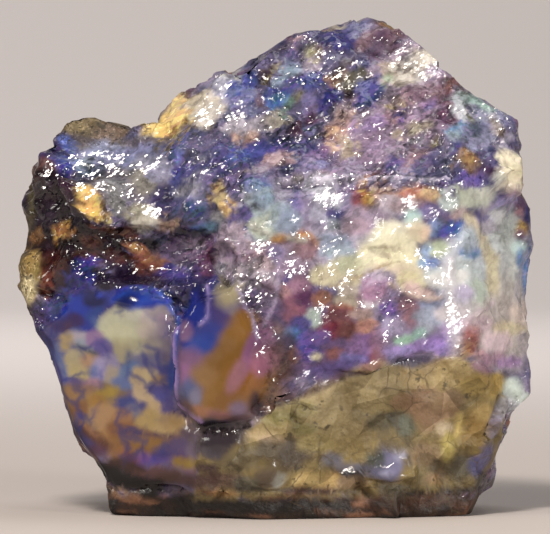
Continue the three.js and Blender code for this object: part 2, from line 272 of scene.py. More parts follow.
# Thin lips, ribs and cracks, and painted highlight and shade lines: the colour, how high it stands in mm, its
# half width and its course
lines_and_painted_light = [
    # The first three are the amber tongue's lips: their pale violet is partly their own colour and partly
    # painted highlight
    ("#a486be", 0.34, 0.26, [
        (-11.0, -15.8, 21.8), (-11.2, -15.6, 19.9), (-11.1, -15.5, 18.2), (-10.9, -15.7, 16.5),
        (-11.0, -15.1, 14.7), (-10.6, -14.0, 13.3), (-9.7, -15.3, 12.2), (-8.4, -16.4, 11.4),
    ]),
    ("#9186a4", 0.16, 0.18, [
        (-6.3, -13.8, 29.3), (-5.2, -16.2, 27.7), (-4.1, -17.0, 26.0), (-3.3, -17.1, 24.2),
        (-2.6, -17.1, 23.1), (-2.3, -17.5, 21.5), (-2.0, -17.7, 20.3),
    ]),
    ("#9182a0", 0.15, 0.2, [
        (0.3, -17.9, 30.7), (0.3, -17.9, 29.1), (0.1, -17.5, 24.9), (-1.2, -17.2, 22.2),
    ]),
    ("#8677ab", 0.26, 0.26, [
        (-7.8, -15.9, 26.8), (-7.5, -17.2, 24.9), (-7.6, -17.2, 23.1), (-8.4, -17.0, 22.2),
    ]),
    ("#2c3b9c", 0.25, 0.26, [
        (-20.0, -13.0, 25.4), (-18.2, -13.6, 25.8), (-16.3, -14.0, 26.4), (-14.7, -14.4, 26.3),
        (-13.3, -14.9, 25.8), (-12.2, -14.8, 24.6), (-11.5, -14.8, 23.3),
    ]),
    # A painted highlight along the step under the cream patch
    ("#baa79c", 0.28, 0.28, [
        (13.0, -16.0, 26.8), (14.6, -15.2, 25.8), (16.8, -15.0, 25.1), (18.8, -14.6, 25.3),
    ]),
    # A painted highlight along the upright rib, which also stands out in relief
    ("#c1bec5", 0.45, 0.7, [
        (19.8, -14.1, 29.3), (19.9, -14.6, 25.9), (20.0, -14.2, 22.4), (20.5, -14.0, 19.5),
    ]),
    ("#b6a4af", 0.25, 0.34, [
        (25.2, -8.5, 24.4), (22.8, -12.2, 23.5), (21.4, -13.8, 22.2), (20.4, -14.0, 19.5),
    ]),
    # A painted highlight along the ridge
    ("#bab3c9", 0.45, 0.26, [
        (0.6, -15.4, 38.8), (7.6, -14.8, 39.0), (14.2, -14.2, 39.2), (19.9, -13.9, 38.8),
    ]),
    ("#a4a49c", 0.25, 0.3, [
        (-2.6, -16.8, 33.5), (-0.8, -17.3, 32.5), (1.7, -17.7, 32.0), (3.4, -17.2, 31.8),
    ]),
    # Painted shade in the crevice under the left ledge, which is also cut in
    ("#100810", -0.35, 0.3, [
        (-22.0, -13.5, 33.0), (-19.0, -13.3, 32.4), (-15.4, -13.1, 32.7), (-11.0, -14.8, 33.0),
        (-8.0, -15.0, 32.7),
    ]),
    # Painted shadow under the opal's lower edge, where it overhangs the host rock
    ("#46303b", -0.3, 0.32, [
        (-2.5, -17.4, 12.7), (0.7, -17.1, 13.1), (3.1, -16.2, 14.1), (6.4, -15.6, 15.5),
        (9.5, -15.8, 16.9), (11.5, -15.9, 17.4),
    ]),
    ("#a7987a", -0.08, 0.12, [
        (6.2, -17.0, 26.5), (7.2, -16.7, 26.7), (9.7, -16.1, 27.7), (12.5, -16.2, 29.0),
        (14.2, -16.2, 29.3),
    ]),
    # The next three are dark lines along the step above the foot, partly dark rind and partly painted shade
    # under the overhang
    ("#21120e", -0.12, 0.3, [
        (1.7, -15.1, 3.5), (6.3, -13.6, 3.0), (12.0, -13.2, 2.8), (17.7, -11.6, 2.9), (22.6, -10.0, 3.0),
    ]),
    ("#190e0a", -0.2, 0.28, [
        (-16.4, -11.0, 3.6), (-10.8, -13.3, 3.4), (-4.0, -16.5, 3.5), (1.5, -15.2, 3.5),
    ]),
    ("#190e0a", -0.2, 0.28, [(2.8, -14.6, 2.3), (7.4, -13.1, 2.0), (14.3, -12.8, 1.7), (22.4, -9.9, 2.0)]),
    ("#3e3055", -0.25, 0.3, [
        (1.1, -15.8, 38.2), (7.4, -15.4, 38.4), (14.2, -14.9, 38.5), (19.3, -14.3, 38.1),
    ]),
]
stripes_and_painted_light = []
for code, lift, width, course in lines_and_painted_light:
    away_from = near_line(course) + 0.2 * roll(place, 1.6, 31)
    stripes_and_painted_light.append(np.exp(-((away_from / width) ** 2)) * front)
    height += lift * stripes_and_painted_light[-1]

# The relief cuts in more than it stands out, so that the stone keeps its outline, and the foot is flat
deepest, highest = -1.4, 0.45
height = np.clip(height, deepest, highest) + 0.15 - 0.65 * fade(facing[:, 2], 0.1, 0.7)
height *= fade(up, 0, 0.8)
place += facing * height[:, None]
place[:, 2] = np.maximum(place[:, 2], 0)
mesh.vertices.foreach_set("co", (place / 1000).ravel())
mesh.update()
upright = np.empty(len(place) * 3)
mesh.vertex_normals.foreach_get("vector", upright)
upright = upright.reshape(-1, 3)

# Colours of the face, placed one by one. Each patch is a colour, its middle across and up in mm, its half
# width and half height, and, where it is turned, how many degrees its long way rises to the right.
# Later patches lie over earlier ones.
top_left_patches = [
    ("#4f4c6e", -14.5, 39.1, 9.8, 6.2), ("#5f6184", -18.2, 41.1, 6.1, 2.3),
    ("#615b66", -15.4, 38.2, 6.0, 1.5), ("#49456f", -10.1, 36.6, 3.8, 3.0),
    ("#40407b", -8.3, 39.1, 3.4, 1.9), ("#41334f", -9.3, 31.4, 3.0, 2.3),
    ("#9d8e9d", -4.4, 31.4, 2.2, 2.6), ("#190b15", -25.2, 35.6, 4.0, 4.2),
    # 130a10 is painted shade in the crevice under the ledge
    ("#1e0a0e", -25.7, 30.0, 4.0, 2.3), ("#130a10", -19.4, 32.0, 6.2, 1.7),
    ("#1e0a14", -24.6, 27.0, 1.7, 2.5), ("#6d5f41", -20.9, 45.0, 3.7, 1.4),
    ("#6f594b", -19.4, 44.0, 1.7, 1.2), ("#51464d", -22.6, 43.2, 2.3, 0.6, -15),
    ("#5f593c", -12.9, 43.9, 2.3, 0.9, -15), ("#e9c977", -12.1, 46.0, 3.2, 2.3, 20),
    ("#eacd7b", -13.2, 45.6, 1.1, 0.7), ("#d9c089", -15.5, 45.5, 1.3, 0.3, -10),
    ("#ba9150", -11.5, 44.6, 1.5, 0.7), ("#615964", -15.0, 42.7, 3.1, 0.7),
    ("#6e6565", -12.9, 42.3, 1.3, 0.5), ("#4e5da6", -10.1, 42.7, 2.1, 0.9, 45),
    ("#5875bc", -10.6, 41.6, 0.9, 0.7, 40), ("#c6bcb1", -8.1, 46.5, 1.7, 1.9),
    ("#cec7c1", -7.1, 47.6, 1.1, 1.0), ("#302455", -25.7, 41.6, 1.9, 1.6),
    ("#252f92", -24.5, 40.2, 0.9, 1.0), ("#4256a5", -24.3, 43.1, 1.1, 0.6, -40),
    ("#58291f", -26.3, 39.8, 1.2, 0.8), ("#4c3125", -27.9, 38.8, 1.0, 1.3),
    ("#483f29", -28.4, 36.3, 0.5, 2.9), ("#31192d", -24.1, 37.5, 1.7, 1.5),
    ("#200c1c", -26.3, 37.0, 1.5, 2.1), ("#536d92", -22.1, 40.2, 0.9, 0.6),
    ("#8086a7", -19.7, 41.5, 2.5, 1.3), ("#72759e", -16.1, 41.1, 2.9, 1.1),
    ("#82829c", -14.0, 40.1, 1.9, 0.9), ("#6a6a70", -18.2, 38.0, 0.9, 1.5, 70),
    ("#7f7c76", -15.1, 38.6, 1.1, 0.8), ("#795130", -22.0, 36.5, 0.4, 0.9),
    ("#dbb45e", -21.0, 36.2, 1.1, 1.5), ("#bca76a", -19.4, 34.6, 0.8, 0.7),
    ("#717171", -18.2, 36.5, 0.9, 0.8), ("#847f70", -15.5, 35.8, 1.5, 0.8),
    ("#afab9f", -14.5, 34.9, 1.6, 0.8, 25), ("#7b6255", -12.6, 34.2, 0.9, 0.6),
    ("#927665", -11.8, 34.5, 0.8, 0.4), ("#683727", -16.6, 33.5, 1.1, 0.7),
    ("#26406f", -9.6, 35.4, 0.8, 0.8), ("#426198", -8.4, 33.5, 1.0, 0.5),
    # 141125 carries the painted shade of the crevice on to the right
    ("#747480", -7.0, 33.7, 0.8, 0.7), ("#141125", -9.4, 32.8, 2.4, 0.5),
    ("#d0b060", -6.7, 37.8, 0.7, 0.6), ("#cba458", -5.3, 35.5, 0.8, 0.7),
    ("#231c39", -7.3, 35.8, 0.8, 0.5), ("#69698e", -9.6, 37.7, 1.8, 0.8),
    ("#302a51", -12.9, 36.8, 1.1, 1.6), ("#9f6f32", -24.3, 32.8, 1.2, 1.0, 50),
    ("#795125", -27.6, 32.1, 0.8, 0.6), ("#97673e", -16.0, 31.5, 1.1, 0.6, -20),
    ("#78482f", -17.1, 31.1, 0.8, 0.6), ("#4a2519", -21.3, 31.7, 0.8, 0.9),
    ("#5d3223", -19.5, 33.3, 1.7, 0.4), ("#6b3e25", -14.0, 29.5, 1.7, 0.9),
    ("#784426", -15.6, 30.0, 1.1, 0.5), ("#491e15", -17.0, 29.0, 2.3, 0.6),
    ("#3a1712", -20.5, 29.9, 2.8, 0.5), ("#a2864b", -27.9, 28.9, 1.1, 1.3),
    ("#927e49", -27.0, 28.0, 0.7, 1.0), ("#bdaf86", -28.2, 25.9, 1.1, 1.4),
    ("#5e4f2e", -29.4, 28.7, 0.5, 2.3), ("#3a120f", -25.3, 28.7, 1.1, 1.7),
    ("#67331e", -26.0, 26.3, 0.6, 1.7), ("#232485", -21.5, 28.4, 1.6, 1.0),
    ("#282e91", -20.8, 27.4, 1.1, 0.8), ("#1c2076", -22.1, 26.3, 1.1, 0.8),
    ("#20152c", -18.0, 28.3, 1.7, 0.7), ("#221333", -16.8, 27.3, 2.5, 0.8),
    ("#242788", -11.4, 27.7, 1.7, 0.8), ("#1f226c", -12.3, 28.3, 1.1, 0.8),
    ("#311d55", -8.5, 27.4, 1.1, 1.5), ("#4a1826", -7.5, 28.3, 1.0, 1.0),
    ("#302267", -8.5, 26.2, 0.7, 0.9), ("#978276", -4.4, 31.2, 0.9, 1.1),
    ("#a49878", -5.0, 26.3, 1.1, 1.1), ("#5f4577", -7.3, 31.8, 1.1, 0.8, 30),
    ("#807286", -9.3, 31.7, 1.3, 0.5), ("#6e5a77", -9.4, 30.4, 1.5, 0.5),
    ("#51428a", -4.0, 34.0, 0.9, 0.8),
]
top_middle_patches = [
    ("#544f6e", 1.1, 47.0, 11.4, 6.2, 32), ("#5e5f8b", -5.0, 49.1, 3.0, 2.6, 32),
    ("#37376c", -1.8, 41.4, 6.3, 1.6, 8), ("#9f98a5", -2.7, 45.2, 3.2, 0.9, 15),
    ("#e4c47f", -11.4, 46.8, 1.7, 1.7, 32), ("#e4c885", -11.4, 48.1, 1.0, 1.6, -35),
    ("#c3baad", -8.1, 46.6, 1.9, 1.6, 32), ("#b9ae9c", -8.9, 47.9, 1.0, 0.7, 32),
    ("#9595a6", -5.8, 49.9, 1.7, 1.4, 32), ("#a1a191", -5.4, 51.4, 1.3, 0.5, 32),
    ("#43435a", -7.4, 50.3, 0.7, 0.6, 20), ("#615f6c", -8.3, 49.3, 0.9, 0.6, 20),
    ("#324085", -3.3, 49.6, 1.7, 1.0, 32), ("#2a346b", -2.7, 48.6, 0.8, 0.7, 32),
    ("#52577f", -3.3, 52.0, 1.0, 0.6, 20), ("#342d49", 0.1, 54.0, 1.4, 0.9, 30),
    ("#32242e", -0.9, 51.0, 1.4, 0.8, 60), ("#9d9478", 0.5, 52.0, 0.7, 0.4, 60),
    ("#6a5f41", -0.6, 50.9, 0.6, 0.4, 32), ("#4d4977", 1.7, 52.4, 1.2, 0.8, 32),
    ("#7a8da3", 1.6, 51.1, 1.2, 0.6, 32), ("#a1858f", 2.2, 54.6, 0.6, 0.3, 32),
    ("#524776", 1.8, 53.4, 1.0, 0.6, 32), ("#9e9876", 4.2, 53.2, 0.8, 0.6, 32),
    ("#908595", 4.1, 52.0, 1.0, 0.5, 32), ("#2c2958", 6.2, 55.2, 1.8, 1.0, 10),
    ("#646f9e", 8.6, 56.4, 1.2, 0.6, 32), ("#7a5e6c", 9.4, 54.6, 1.0, 0.7, 32),
    ("#513b4b", 5.3, 54.1, 0.8, 0.5, 32), ("#2f357c", 3.9, 50.5, 1.7, 0.6, 32),
    ("#36397d", 4.8, 49.9, 1.3, 0.6, 32), ("#303c84", 1.4, 49.4, 1.7, 0.7, 15),
    ("#2c3c7d", 0.4, 48.7, 1.4, 0.6, 32), ("#406e9d", 0.5, 47.9, 1.0, 0.6, 25),
    ("#32629b", 0.1, 47.4, 0.8, 0.3, 32), ("#779f91", 2.0, 47.8, 0.7, 0.4, 30),
    ("#86a095", 1.3, 46.8, 0.9, 0.3, 20), ("#6f6b52", 3.4, 48.4, 0.6, 0.4, 50),
    ("#9f998d", -0.1, 46.1, 1.4, 0.7, 8), ("#857e8b", -1.8, 45.5, 1.3, 0.7, 15),
    ("#1e1e5a", 6.6, 47.9, 1.2, 0.7, 32), ("#666092", 4.8, 48.2, 1.3, 0.7, 32),
    ("#503250", 5.2, 46.6, 1.0, 0.5, 32), ("#3d243e", 2.6, 44.9, 1.1, 0.7, 32),
    ("#492941", 3.5, 44.8, 0.7, 0.7, 32), ("#876252", 6.7, 50.7, 0.8, 0.6, 32),
    ("#42393e", 7.6, 51.4, 1.3, 0.9, 32), ("#4a323a", 8.3, 47.9, 0.8, 0.7, 32),
    ("#614f5e", -1.5, 48.1, 0.8, 0.7, 32), ("#a1867a", -3.3, 43.7, 1.2, 0.5, 15),
    ("#a8857e", -3.7, 43.2, 1.0, 0.3, 32), ("#2b296e", -1.1, 42.4, 2.0, 0.7, 8),
    ("#34357e", -2.7, 41.8, 1.7, 0.6, 5), ("#384c91", -4.5, 41.2, 1.0, 0.7, 32),
    ("#91767c", 0.1, 41.2, 1.7, 0.7, 15), ("#997e84", -0.6, 40.7, 1.1, 0.3, 32),
    ("#7f7084", -1.8, 40.1, 1.1, 0.3, 32), ("#948588", -4.1, 39.2, 2.0, 0.2, 32),
    ("#a28a84", 8.4, 45.7, 1.4, 1.1, 32), ("#97766e", 7.4, 44.2, 1.1, 1.1, 32),
    ("#9b897e", 8.8, 42.2, 1.1, 1.1, 32), ("#a8877e", 8.3, 45.0, 0.7, 0.7, 32),
    ("#6d5c46", 4.2, 43.5, 0.6, 0.3, 32), ("#636b97", 4.8, 45.1, 0.8, 0.6, 32),
    ("#716ca2", 5.5, 40.7, 2.0, 0.7, 32), ("#70598b", 5.0, 41.8, 1.9, 0.6, 32),
    ("#615486", 7.1, 41.3, 1.1, 0.7, 32), ("#745071", 5.7, 42.7, 1.1, 0.6, 32),
    ("#2e2e86", -11.1, 39.8, 1.1, 0.3, 32), ("#353375", -10.1, 39.2, 1.7, 0.2, 32),
    ("#808090", -9.8, 37.8, 1.7, 0.5, 32), ("#4c5f8a", -2.9, 38.1, 1.9, 0.6, 32),
    ("#504879", -4.4, 37.8, 1.1, 0.6, 32), ("#6c677f", 0.4, 37.6, 1.4, 0.6, 32),
    ("#736952", 2.3, 38.5, 0.7, 0.3, 32),
]
top_right_patches = [
    ("#837487", 15.9, 48.7, 7.6, 5.5, 28), ("#816e88", 13.2, 43.5, 7.9, 2.7, 28),
    ("#6c6e8f", 23.6, 44.6, 3.6, 1.8, 28), ("#65648b", 10.3, 56.8, 3.0, 0.6, 28),
    ("#727095", 11.9, 56.9, 1.7, 0.4, 28), ("#282564", 7.3, 55.0, 1.4, 1.1, 28),
    ("#7e636e", 10.6, 55.0, 1.8, 0.7, 28), ("#493249", 11.8, 55.4, 0.7, 0.3, 28),
    ("#513a55", 11.1, 53.0, 1.6, 0.7, 28), ("#343871", 9.5, 51.7, 1.2, 0.7, 28),
    ("#795e53", 7.3, 50.2, 0.8, 0.7, 28), ("#4a473a", 9.1, 50.3, 1.6, 1.1, 28),
    ("#2e1f24", 8.7, 48.4, 1.0, 0.7, 28), ("#191c66", 6.9, 48.5, 0.8, 0.9, 28),
    ("#323478", 11.0, 49.2, 1.7, 1.1, 28), ("#292c77", 10.6, 47.9, 1.3, 0.7, 28),
    ("#938277", 13.7, 51.6, 1.6, 0.9, 28), ("#9e9487", 15.1, 50.6, 1.6, 0.7, 28),
    ("#87937e", 13.0, 50.4, 0.7, 0.4, 28), ("#afa79e", 16.4, 52.0, 2.4, 1.4, 28),
    ("#c9c2b2", 17.9, 52.8, 1.2, 0.8, 28), ("#92819f", 19.3, 51.0, 1.3, 0.7, 28),
    ("#806477", 16.4, 49.0, 2.4, 0.7, 28), ("#7a5f6a", 18.7, 48.7, 1.6, 0.7, 28),
    ("#714846", 21.0, 49.7, 0.8, 0.6, 28), ("#593545", 20.2, 47.7, 1.0, 0.7, 28),
    ("#705c94", 17.4, 47.6, 1.3, 0.3, 28), ("#8c7d55", 13.6, 47.6, 0.8, 0.4, 28),
    ("#a18a59", 14.7, 47.3, 0.5, 0.2, 28), ("#8b6b77", 13.1, 46.0, 1.0, 0.6, 28),
    ("#5b4c8c", 14.1, 46.0, 0.7, 0.5, 28), ("#502549", 19.5, 45.9, 0.8, 0.6, 28),
    ("#9e9484", 16.3, 44.8, 1.3, 0.5, 28), ("#aea08e", 13.6, 43.5, 0.8, 0.7, 28),
    ("#9ea2b1", 15.8, 42.6, 0.8, 0.6, 28), ("#89805c", 18.0, 42.2, 1.0, 0.4, 20),
    ("#a98c89", 8.2, 45.1, 1.4, 0.9, 28), ("#a8897a", 7.7, 43.4, 1.4, 1.1, 28),
    ("#a59685", 8.7, 42.0, 1.2, 0.9, 28), ("#af8c74", 7.2, 44.3, 0.8, 0.6, 28),
    ("#7f6895", 11.2, 45.2, 1.4, 0.7, 28), ("#816c8a", 11.3, 42.4, 1.6, 0.7, 28),
    ("#899d9d", 22.7, 48.1, 1.3, 0.7, 28), ("#86a19d", 24.4, 47.7, 1.4, 0.5, -40),
    ("#7e9d95", 25.1, 46.8, 0.6, 0.4, -40), ("#b4bbc3", 21.8, 46.7, 1.3, 0.7, 28),
    ("#5684ae", 20.7, 44.5, 1.1, 0.6, 28), ("#92a2b1", 20.9, 43.8, 0.8, 0.6, 28),
    ("#464f65", 23.3, 45.0, 0.7, 0.9, 28), ("#7c7e6c", 22.8, 46.1, 0.7, 0.4, 28),
    ("#252567", 21.0, 42.2, 0.7, 0.5, 28), ("#8384a3", 24.2, 43.6, 1.6, 0.7, 28),
    ("#77685b", 25.9, 44.7, 1.3, 0.5, -50), ("#987e64", 22.2, 40.7, 1.7, 1.0, 28),
    ("#9e7b4b", 22.5, 41.4, 0.6, 0.7, 28), ("#67462c", 22.1, 40.0, 0.6, 0.6, 28),
    ("#41294c", 23.9, 39.8, 0.7, 1.0, 28), ("#e7dec1", 26.9, 40.5, 1.4, 1.5, 28),
    ("#d6cdb0", 26.3, 38.8, 1.3, 0.7, 28), ("#c9c39d", 28.3, 39.9, 0.5, 1.1, 28),
    ("#535374", 19.6, 40.4, 1.3, 1.1, 28), ("#514973", 20.0, 38.4, 1.2, 0.6, 28),
    ("#4a387d", 21.7, 38.3, 1.8, 0.4, 28), ("#47407d", 13.1, 40.3, 1.3, 0.6, 28),
    ("#7c626e", 15.7, 40.7, 1.2, 0.6, 28),
]
under_the_ridge_patches = [
    ("#837999", 4.4, 34.9, 7.9, 4.1), ("#918096", 0.9, 29.4, 6.5, 3.3),
    # d2c9d2, with #c2b9c2 and #b5aab5 further down, is pale: partly the recess's own milky colour, partly
    # painted light against its shade
    ("#d2c9d2", -3.5, 27.6, 2.0, 2.9), ("#928c9f", 7.0, 31.2, 3.6, 2.3),
    ("#5e4a67", 3.6, 23.7, 6.2, 3.8), ("#503b62", 5.2, 19.4, 6.9, 2.6),
    ("#554c7d", -4.7, 38.7, 3.3, 0.6), ("#485e8d", -2.4, 37.8, 1.7, 0.8),
    ("#3a365f", -4.1, 38.0, 0.8, 0.7), ("#937486", 4.9, 38.8, 1.5, 0.4),
    ("#bba571", -6.0, 36.3, 0.6, 0.7), ("#b89b67", -5.5, 35.5, 0.7, 0.7),
    ("#7d7d84", -6.8, 34.6, 1.2, 0.7), ("#436683", -7.9, 33.6, 0.7, 0.5),
    ("#85949b", -1.2, 34.7, 2.3, 2.3), ("#8f9c95", 0.0, 33.3, 2.0, 1.0),
    ("#74879e", -1.2, 36.1, 1.1, 0.7), ("#9da399", -1.5, 33.5, 1.1, 0.6),
    ("#77839a", 1.4, 33.8, 1.2, 1.3), ("#413773", -3.9, 34.3, 1.2, 0.7, -50),
    ("#665e92", 2.1, 36.3, 1.3, 0.6, -55), ("#857f96", 0.9, 37.0, 0.9, 0.9),
    ("#655e4a", 2.6, 38.4, 0.7, 0.4), ("#adadbb", 5.9, 37.0, 1.7, 1.6),
    ("#a6a6bd", 4.9, 34.9, 1.0, 1.1, 60), ("#333375", 7.0, 34.9, 1.1, 0.5),
    ("#737b86", 6.4, 33.6, 0.9, 0.7), ("#98613d", 10.5, 38.0, 0.7, 0.6),
    ("#773540", 9.9, 36.2, 0.7, 1.0), ("#a27435", 10.7, 36.9, 0.5, 1.4),
    ("#9d8c4a", 11.3, 36.5, 0.3, 0.9), ("#a88577", 12.1, 36.8, 0.7, 1.3),
    ("#93849a", 10.5, 34.4, 2.6, 1.0), ("#9b8797", 9.4, 33.2, 1.4, 0.9),
    ("#828ca2", 6.4, 31.2, 2.1, 1.0), ("#919dac", 7.4, 30.2, 1.6, 0.7),
    ("#705665", 0.3, 31.8, 2.0, 0.3), ("#996c34", 0.6, 32.3, 0.8, 0.4),
    ("#a17040", 3.2, 32.1, 0.9, 0.6), ("#b3856a", 3.8, 31.5, 0.9, 0.7),
    ("#8c7967", -4.6, 31.1, 0.9, 1.2), ("#9b8c9f", -5.6, 31.2, 1.6, 1.6),
    ("#59478f", -7.2, 30.6, 0.7, 0.7), ("#4c2942", -7.6, 30.3, 1.0, 0.8),
    ("#5a263d", -7.3, 29.1, 1.1, 1.2), ("#662430", -7.1, 27.7, 0.7, 0.7),
    ("#927c96", -3.5, 29.8, 1.8, 0.7), ("#8f7382", -1.2, 30.0, 2.0, 0.9),
    ("#b19da5", -1.4, 28.7, 1.6, 0.7), ("#7e606d", 3.3, 30.8, 1.2, 1.0),
    ("#8177a0", 0.2, 30.3, 0.9, 0.9), ("#aaa1aa", -3.9, 28.0, 1.6, 1.3),
    ("#9da1a1", -5.8, 28.1, 0.7, 0.9), ("#a79d7d", -5.1, 25.9, 1.1, 1.2),
    ("#a29aa5", -1.4, 26.9, 1.8, 0.7), ("#94909c", -1.7, 25.6, 1.6, 1.0),
    ("#514679", 1.4, 27.3, 0.7, 0.6), ("#8c687d", 2.5, 26.7, 0.9, 0.9),
    ("#9b7478", 0.9, 25.8, 0.6, 1.1), ("#7b4959", 2.1, 24.3, 1.1, 1.3),
    ("#462443", 3.0, 25.3, 0.9, 0.8), ("#834d57", 2.0, 23.3, 0.7, 0.8),
    ("#b6b49a", 7.0, 28.4, 3.0, 1.1, 10), ("#b0a88f", 5.6, 27.7, 1.6, 1.0, 15),
    ("#adb397", 9.0, 29.2, 1.8, 0.8, 20), ("#bebca0", 11.7, 29.6, 3.1, 1.6, 25),
    ("#c3c0ae", 13.0, 32.0, 1.6, 1.5), ("#b8b09c", 11.2, 27.8, 3.1, 0.8, 8),
    ("#a8a182", 8.0, 26.4, 2.0, 0.5, 15), ("#9f958e", 8.2, 25.7, 1.6, 1.0),
    ("#968c7e", 7.9, 24.8, 1.2, 0.8), ("#93889f", 11.5, 26.4, 2.1, 0.8),
    ("#59527e", 5.6, 26.0, 1.2, 0.6), ("#816b7a", 11.1, 25.2, 2.1, 0.9),
    ("#aea8b1", 10.5, 24.3, 0.6, 0.4), ("#a9a1ad", 11.6, 24.4, 0.5, 0.3),
    ("#715b92", 13.1, 23.8, 0.9, 0.9), ("#7c5443", 5.2, 25.1, 1.0, 0.8),
    ("#885848", 7.4, 23.7, 1.2, 0.7), ("#603840", 7.1, 22.9, 1.3, 1.0, 20),
    ("#6b3c39", 8.0, 21.8, 1.0, 0.8), ("#5d1d32", 6.4, 21.4, 1.5, 0.8),
    ("#5c3838", 8.0, 21.3, 1.0, 0.8), ("#a27567", 10.5, 22.0, 1.4, 0.8),
    ("#95807c", 9.7, 23.3, 1.5, 0.6), ("#9aa9a2", 4.2, 22.9, 0.8, 0.9),
    ("#333380", 3.0, 22.2, 0.9, 0.7), ("#3b3f8d", 2.8, 20.9, 0.7, 0.9),
    ("#3266a0", 2.2, 21.1, 0.6, 0.6), ("#6583a5", 1.4, 21.4, 0.5, 0.4),
    ("#7e634f", 0.0, 21.7, 0.8, 0.8), ("#948c9b", -0.2, 20.5, 1.0, 0.7),
    ("#231f3a", 1.2, 18.8, 1.6, 1.7), ("#291e3e", 0.8, 17.3, 1.8, 1.1),
    ("#84582f", 2.4, 18.9, 0.6, 0.6), ("#413381", 4.0, 19.5, 1.2, 1.1),
    ("#543f7c", 5.2, 20.7, 1.0, 0.7), ("#aca589", 4.7, 18.6, 0.6, 0.4),
    ("#774848", 7.0, 18.7, 1.0, 0.7), ("#705382", 10.0, 19.5, 1.6, 1.4),
    ("#805b75", 11.8, 20.1, 0.9, 1.7), ("#70444e", 11.7, 18.5, 0.8, 0.7),
    ("#625e99", 9.0, 18.4, 1.6, 0.5), ("#4f417c", 6.7, 17.4, 3.0, 0.5, 12),
    # c2b9c2 and #b5aab5 are more of the painted light in the recess
    ("#6e678f", 13.4, 22.1, 0.9, 0.9), ("#c2b9c2", -2.1, 26.4, 1.4, 1.3),
    ("#b5aab5", -2.7, 27.6, 1.0, 0.7), ("#93849e", -1.8, 24.4, 1.0, 1.1),
    ("#9f849b", -0.9, 26.1, 0.7, 1.0),
]
